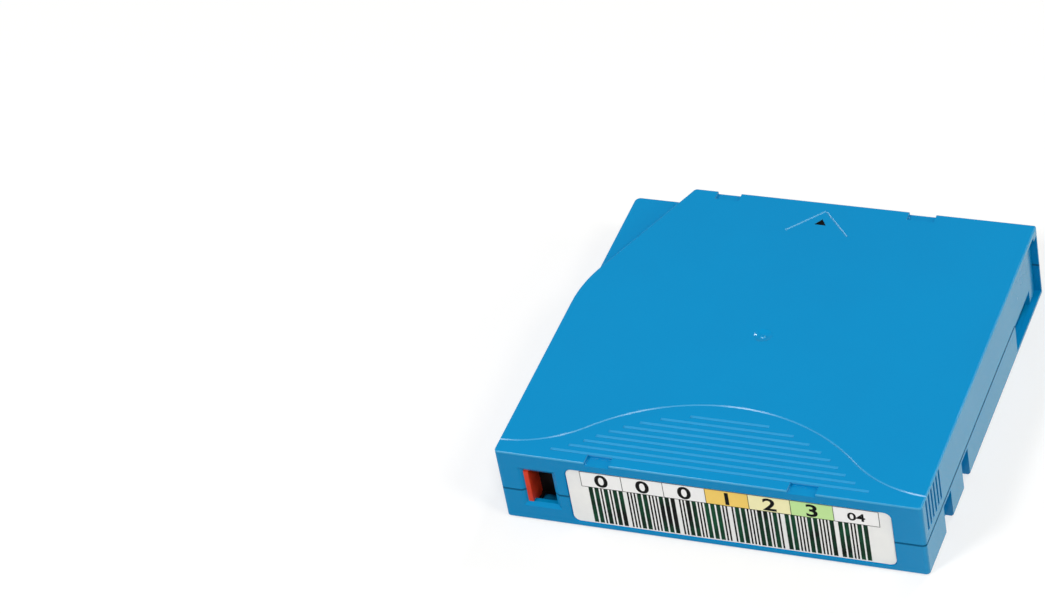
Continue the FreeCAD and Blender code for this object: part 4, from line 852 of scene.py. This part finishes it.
@dataclass
class LabelPrint:
    """The print on the label: a row of colour fields with digits, over plain bars."""

    ink: float = 0.02
    bars_left: float = -29.9
    bars_right: float = 39.3
    bars_base: float = 2.1
    bars_top: float = 13.5
    narrow: float = 0.42
    wide: float = 1.05
    wide_pair: tuple[int, int] = (5, 2)
    wide_single: tuple[int, int] = (7, 3)
    wide_gap: tuple[int, int] = (11, 6)
    row_base: float = 13.5
    row_top: float = 18.2
    borders: tuple[float, ...] = (-31.5, -21.2, -10.8, -0.3, 10.3, 20.6, 31.0, 42.0)
    fields: tuple[Colour, ...] = (
        Colour.WHITE_FIELD, Colour.WHITE_FIELD, Colour.WHITE_FIELD, Colour.AMBER_FIELD,
        Colour.YELLOW_FIELD, Colour.GREEN_FIELD, Colour.WHITE_FIELD)
    digits: tuple[str, ...] = ("0", "0", "0", "1", "2", "3", "04")
    digit_height: float = 3.8
    small_digit_height: float = 2.4
    digit_width: float = 1.3
    digit_drop: float = 0.3
    capital_share: float = 0.72
    boldness: float = 0.03
    rule: float = 0.14

    def plate(self) -> bpy.types.Object:
        """Models one patch of ink, 1 mm square, that looks to the front.

        Returns:
            The patch's object, centred on the origin with its back at y 0.
        """
        deselect()
        bpy.ops.mesh.primitive_plane_add(size=MM, rotation=(math.pi / 2, 0, 0))
        piece = new_piece()
        start_edit("SELECT")
        bpy.ops.mesh.extrude_region_move(
            TRANSFORM_OT_translate={"value": (0, -self.ink * MM, 0)})
        end_edit_facing_out()
        return piece

    def patch(
        self, plate: bpy.types.Object, span: tuple[float, float],
        rise: tuple[float, float], front: float,
    ) -> bpy.types.Object:
        """Copies the patch of ink to one place on the label.

        Args:
            plate: The patch to copy.
            span: Left and right end in millimetres.
            rise: Lower and upper end in millimetres.
            front: The surface's front in metres along Y.

        Returns:
            The copy.
        """
        middle = Vector(((span[0] + span[1]) / 2 * MM, front, (rise[0] + rise[1]) / 2 * MM))
        size = Matrix.Diagonal((span[1] - span[0], 1, rise[1] - rise[0], 1))
        return copy_of(plate, Matrix.Translation(middle) @ size)

    def bars(
        self, plate: bpy.types.Object, front: float
    ) -> tuple[list[bpy.types.Object], list[bpy.types.Object]]:
        """Lays out plain upright bars, thin and thick in a repeating order that says nothing.

        Args:
            plate: The patch of ink to copy.
            front: The paper's front in metres along Y.

        Returns:
            The thin bars and the thick bars.
        """
        thin, thick = [], []
        left = self.bars_left
        index = 0
        while left < self.bars_right - self.wide:
            is_wide = (
                index % self.wide_pair[0] < self.wide_pair[1]
                or index % self.wide_single[0] == self.wide_single[1])
            width = self.wide if is_wide else self.narrow
            gap = self.wide if index % self.wide_gap[0] == self.wide_gap[1] else self.narrow
            bar = self.patch(plate, (left, left + width), (self.bars_base, self.bars_top), front)
            (thick if is_wide else thin).append(bar)
            left += width + gap
            index += 1
        return thin, thick

    def colour_fields(self, plate: bpy.types.Object, front: float) -> None:
        """Builds the row's fields, one piece for each colour.

        Args:
            plate: The patch of ink to copy.
            front: The paper's front in metres along Y.
        """
        spans = list(zip(self.borders, self.borders[1:]))
        for colour in dict.fromkeys(self.fields):
            made = [
                self.patch(plate, span, (self.row_base, self.row_top), front)
                for span, filled in zip(spans, self.fields) if filled is colour
            ]
            settle(join(made), f"label_fields_{colour.name.lower()}", field_ink(colour),
                   Body.CASE)

    def rules(self, plate: bpy.types.Object, front: float) -> list[bpy.types.Object]:
        """Draws the lines between the fields, and those above and below them.

        Args:
            plate: The patch of ink to copy.
            front: The fields' front in metres along Y.

        Returns:
            The lines' objects.
        """
        row = (self.row_base, self.row_top)
        ends = (self.borders[0], self.borders[-1])
        upright = [self.patch(plate, self.about(border), row, front) for border in self.borders]
        level = [self.patch(plate, ends, self.about(height), front) for height in row]
        return upright + level

    def about(self, middle: float) -> tuple[float, float]:
        """Gives the two edges of a line.

        Args:
            middle: The line's middle in millimetres.

        Returns:
            Its lower and its upper edge in millimetres.
        """
        return middle - self.rule / 2, middle + self.rule / 2

    def digit(self, text: str, centre: tuple[float, float], front: float) -> bpy.types.Object:
        """Sets a digit, or a smaller pair of them, as a mesh on the label.

        Args:
            text: The digit or digits.
            centre: Its middle along X and Z in millimetres.
            front: The fields' front in metres along Y.

        Returns:
            The digit's mesh object.
        """
        height = self.digit_height if len(text) == 1 else self.small_digit_height
        deselect()
        bpy.ops.object.text_add(rotation=(math.pi / 2, 0, 0))
        piece = bpy.context.object
        piece.data.body = text
        piece.data.size = height / self.capital_share * MM
        piece.data.align_x = "CENTER"
        piece.data.align_y = "CENTER"
        piece.data.offset = self.boldness * height * MM
        piece.data.extrude = self.ink / 2 * MM
        bpy.ops.object.convert(target="MESH")
        piece = bpy.context.object
        piece.location = (centre[0] * MM, front - self.ink / 2 * MM, centre[1] * MM)
        piece.scale = (self.digit_width, 1, 1)
        return new_piece()

    def build(self) -> None:
        """Builds the bars, the fields, the rules between them and the digits."""
        paper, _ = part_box("barcode_label")
        front = paper[1]
        above = front - self.ink * MM
        plate = self.plate()
        ink, thick = self.bars(plate, front)
        settle(join(thick), "label_wide_bars", BAR_INK, Body.CASE)
        self.colour_fields(plate, front)
        ink += self.rules(plate, above)
        bpy.data.objects.remove(plate)
        middle = (self.row_base + self.row_top) / 2 - self.digit_drop
        for left, right, text in zip(self.borders, self.borders[1:], self.digits):
            ink.append(self.digit(text, ((left + right) / 2, middle), above))
        settle(join(ink), "label_print", PRINT_INK, Body.CASE)


@dataclass
class ArrowInlay:
    """The ink in the arrow on the top, a triangle that points to the rear."""

    centre_x: float = -0.3
    tip_y: float = 44.65
    width: float = 2.9
    length: float = 2.1
    base_z: float = 21.2
    top_z: float = 21.42
    tip_gap: float = 0.1
    edge: float = 0.05
    edge_steps: int = 2
    length_per_radius: float = 1.5

    def build(self) -> None:
        """Builds the triangle of ink."""
        deselect()
        radius = self.length / self.length_per_radius
        bpy.ops.mesh.primitive_circle_add(
            vertices=3, radius=radius * MM, fill_type="NGON",
            location=(self.centre_x * MM, (self.tip_y - self.tip_gap - radius) * MM,
                      self.base_z * MM))
        piece = new_piece()
        start_edit("SELECT")
        bpy.ops.transform.resize(value=(self.width / (math.sqrt(3) * radius), 1, 1))
        bpy.ops.mesh.extrude_region_move(
            TRANSFORM_OT_translate={"value": (0, 0, (self.top_z - self.base_z) * MM)})
        end_edit_facing_out()
        apply_modifier(
            piece, "BEVEL", width=self.edge * MM, segments=self.edge_steps, limit_method="ANGLE")
        settle(piece, "arrow_inlay", ARROW_INK, Body.CASE)


@dataclass
class BoardLoops:
    """Copper turns of the memory's antenna, around the chip on the leaning board."""

    corner: tuple[float, float, float] = (24.5, -48.5, 2.4)
    lean: float = 45.0
    length: float = 17.5
    width: float = 7.6
    board: float = 0.6
    margin: float = 0.5
    trace: float = 0.35
    pitch: float = 0.7
    copper: float = 0.03
    turns: int = 2

    def ring(self, inset: float) -> bpy.types.Object:
        """Models one turn on a level board whose corner is at the origin.

        Args:
            inset: Its distance from the board's edges in millimetres.

        Returns:
            The turn's object.
        """
        deselect()
        bpy.ops.mesh.primitive_plane_add(
            size=MM, location=(self.length / 2 * MM, self.width / 2 * MM, self.board * MM))
        bpy.context.object.scale = (self.length - 2 * inset, self.width - 2 * inset, 1)
        piece = new_piece()
        start_edit("SELECT")
        bpy.ops.mesh.inset(thickness=self.trace * MM)
        bpy.ops.mesh.delete(type="FACE")
        bpy.ops.mesh.select_all(action="SELECT")
        bpy.ops.mesh.extrude_region_move(
            TRANSFORM_OT_translate={"value": (0, 0, self.copper * MM)})
        end_edit_facing_out()
        return piece

    def build(self) -> None:
        """Builds the turns and leans them with the board."""
        loops = join([self.ring(self.margin + turn * self.pitch) for turn in range(self.turns)])
        loops.data.transform(
            Matrix.Translation(Vector(self.corner) * MM)
            @ Matrix.Rotation(math.radians(self.lean), 4, "X"))
        settle(loops, "board_loops", BOARD_COPPER, Body.CASE)


@dataclass(frozen=True)
class Lamp:
    """A square soft lamp aimed at the cartridge, in metres and watts."""

    name: str
    place: tuple[float, float, float]
    size: float
    power: float
    tint: tuple[float, float, float] = (1.0, 1.0, 1.0)

    def build(self) -> None:
        """Adds the lamp."""
        bpy.ops.object.light_add(type="AREA", location=self.place)
        piece = bpy.context.object
        piece.name = self.name
        piece.data.shape = "SQUARE"
        piece.data.size = self.size
        piece.data.energy = self.power
        piece.data.color = self.tint
        piece.rotation_mode = "QUATERNION"
        piece.rotation_quaternion = Vector(self.place).to_track_quat("Z", "Y")


WARM = (1.0, 0.96, 0.84)
LAMPS: tuple[Lamp, ...] = (
    Lamp("front_softbox", (-0.55, -0.95, 1.0), 0.28, 9.0),
    Lamp("rear_softbox", (0.35, 1.1, 1.2), 0.25, 5.5),
    Lamp("right_front_softbox", (0.95, -0.42, 1.1), 0.3, 4.5, WARM),
    Lamp("right_low_softbox", (1.3, -0.1, 0.6), 0.5, 4.5, WARM),
    Lamp("left_low_softbox", (-1.25, 0.04, 0.36), 0.4, 4.5),
    Lamp("near_camera_softbox", (0.4, -0.72, 0.95), 0.2, 3.5),
)


@dataclass
class Studio:
    """Plain pale floor, pale surroundings and soft lamps, in metres."""

    lamps: tuple[Lamp, ...] = LAMPS
    floor_size: float = 8.0
    floor_drop: float = 0.00002
    floor_roughness: float = 0.9
    floor_glow: float = 0.54
    side_glow: float = 0.62
    side_tint: tuple[float, float, float, float] = (1.0, 1.2, 1.0, 1.0)
    side_edge: float = 0.042
    side_fade: float = 0.01
    sky_fill: float = 0.22

    def floor(self) -> None:
        """Builds the floor, which keeps shadows and looks white to the camera.

        Right of the cartridge it also glows in reflections, a little green, because the
        right side of the case mirrors such a light.
        """
        deselect()
        bpy.ops.mesh.primitive_plane_add(size=self.floor_size, location=(0, 0, -self.floor_drop))
        piece = bpy.context.object
        piece.name = "studio_floor"
        material = bpy.data.materials.new("matt_white_floor")
        material.use_nodes = True
        tree = material.node_tree
        shader = tree.nodes["Principled BSDF"]
        shader.inputs["Base Color"].default_value = linear(Colour.FLOOR)
        shader.inputs["Roughness"].default_value = self.floor_roughness
        shader.inputs["Specular IOR Level"].default_value = 0.0
        seen = add_node(tree, "ShaderNodeLightPath")
        is_mirrored = seen.outputs["Is Glossy Ray"]
        tint = add_node(
            tree, "ShaderNodeMix", {"A": WHITE, "B": self.side_tint},
            {"Factor": is_mirrored}, data_type="RGBA")
        tree.links.new(tint.outputs["Result"], shader.inputs["Emission Color"])
        place = add_node(tree, "ShaderNodeTexCoord").outputs["Object"]
        across = add_node(tree, "ShaderNodeSeparateXYZ", links={"Vector": place})
        side = add_node(
            tree, "ShaderNodeMapRange",
            {"From Min": self.side_edge - self.side_fade,
             "From Max": self.side_edge + self.side_fade,
             "To Max": self.side_glow}, {"Value": across.outputs["X"]})
        mirrored = add_node(
            tree, "ShaderNodeMath", links={0: is_mirrored, 1: side.outputs["Result"]},
            operation="MULTIPLY")
        glow = add_node(
            tree, "ShaderNodeMath", {1: self.floor_glow},
            {0: seen.outputs["Is Camera Ray"], 2: mirrored.outputs[0]}, operation="MULTIPLY_ADD")
        tree.links.new(glow.outputs[0], shader.inputs["Emission Strength"])
        piece.data.materials.append(material)

    def sky(self) -> None:
        """Sets the surroundings: white where seen, dimmer as a light."""
        world = bpy.data.worlds.new("studio")
        bpy.context.scene.world = world
        world.use_nodes = True
        tree = world.node_tree
        seen = add_node(tree, "ShaderNodeLightPath")
        strength = add_node(
            tree, "ShaderNodeMapRange", {"To Min": self.sky_fill, "To Max": 1.0},
            {"Value": seen.outputs["Is Camera Ray"]})
        background = tree.nodes["Background"]
        background.inputs["Color"].default_value = WHITE
        tree.links.new(strength.outputs["Result"], background.inputs["Strength"])

    def build(self) -> None:
        """Builds floor, surroundings and lamps."""
        self.floor()
        self.sky()
        for lamp in self.lamps:
            lamp.build()


@dataclass
class PhotoCamera:
    """A camera where the photograph was taken from."""

    place: tuple[float, float, float] = (0.28791, -0.66321, 0.64093)
    turn: tuple[float, float, float] = (49.8722, 9.0089, 20.4512)
    lens: float = 135.93
    sensor: float = 36.0
    nearest: float = 0.05
    farthest: float = 20.0

    def build(self) -> None:
        """Makes the camera the scene's own."""
        data = bpy.data.cameras.new("photo_camera")
        data.lens = self.lens
        data.sensor_width = self.sensor
        data.clip_start = self.nearest
        data.clip_end = self.farthest
        camera = bpy.data.objects.new("photo_camera", data)
        camera.location = self.place
        camera.rotation_euler = [math.radians(angle) for angle in self.turn]
        bpy.context.collection.objects.link(camera)
        bpy.context.scene.camera = camera


def dress_frame(nodes: dict[str, bpy.types.Object]) -> None:
    """Gives each CAD node its finish.

    Args:
        nodes: The CAD nodes by name.
    """
    for name, finish in CAD_FINISHES.items():
        piece = nodes[name]
        piece.data.materials.clear()
        piece.data.materials.append(finish.build())
        LOG.info("%s: %s", name, finish.name)


def main() -> None:
    """Loads the frame, dresses it, adds the new pieces and sets up the picture."""
    logging.basicConfig(level=logging.INFO, format="%(name)s: %(message)s")
    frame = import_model()
    bpy.context.scene.view_settings.view_transform = "Standard"
    deselect()
    dress_frame(frame["nodes"])
    Springs(
        door_coil=Coil(radius=0.8, wire=0.4, turns=9, length=37.0),
        brake_coil=Coil(radius=7.4, wire=0.8, turns=3.5, length=9.5, steps=48),
    ).build()
    Screws().build()
    LabelPrint().build()
    ArrowInlay().build()
    BoardLoops().build()
    Studio().build()
    PhotoCamera().build()


if __name__ == "__main__":
    main()
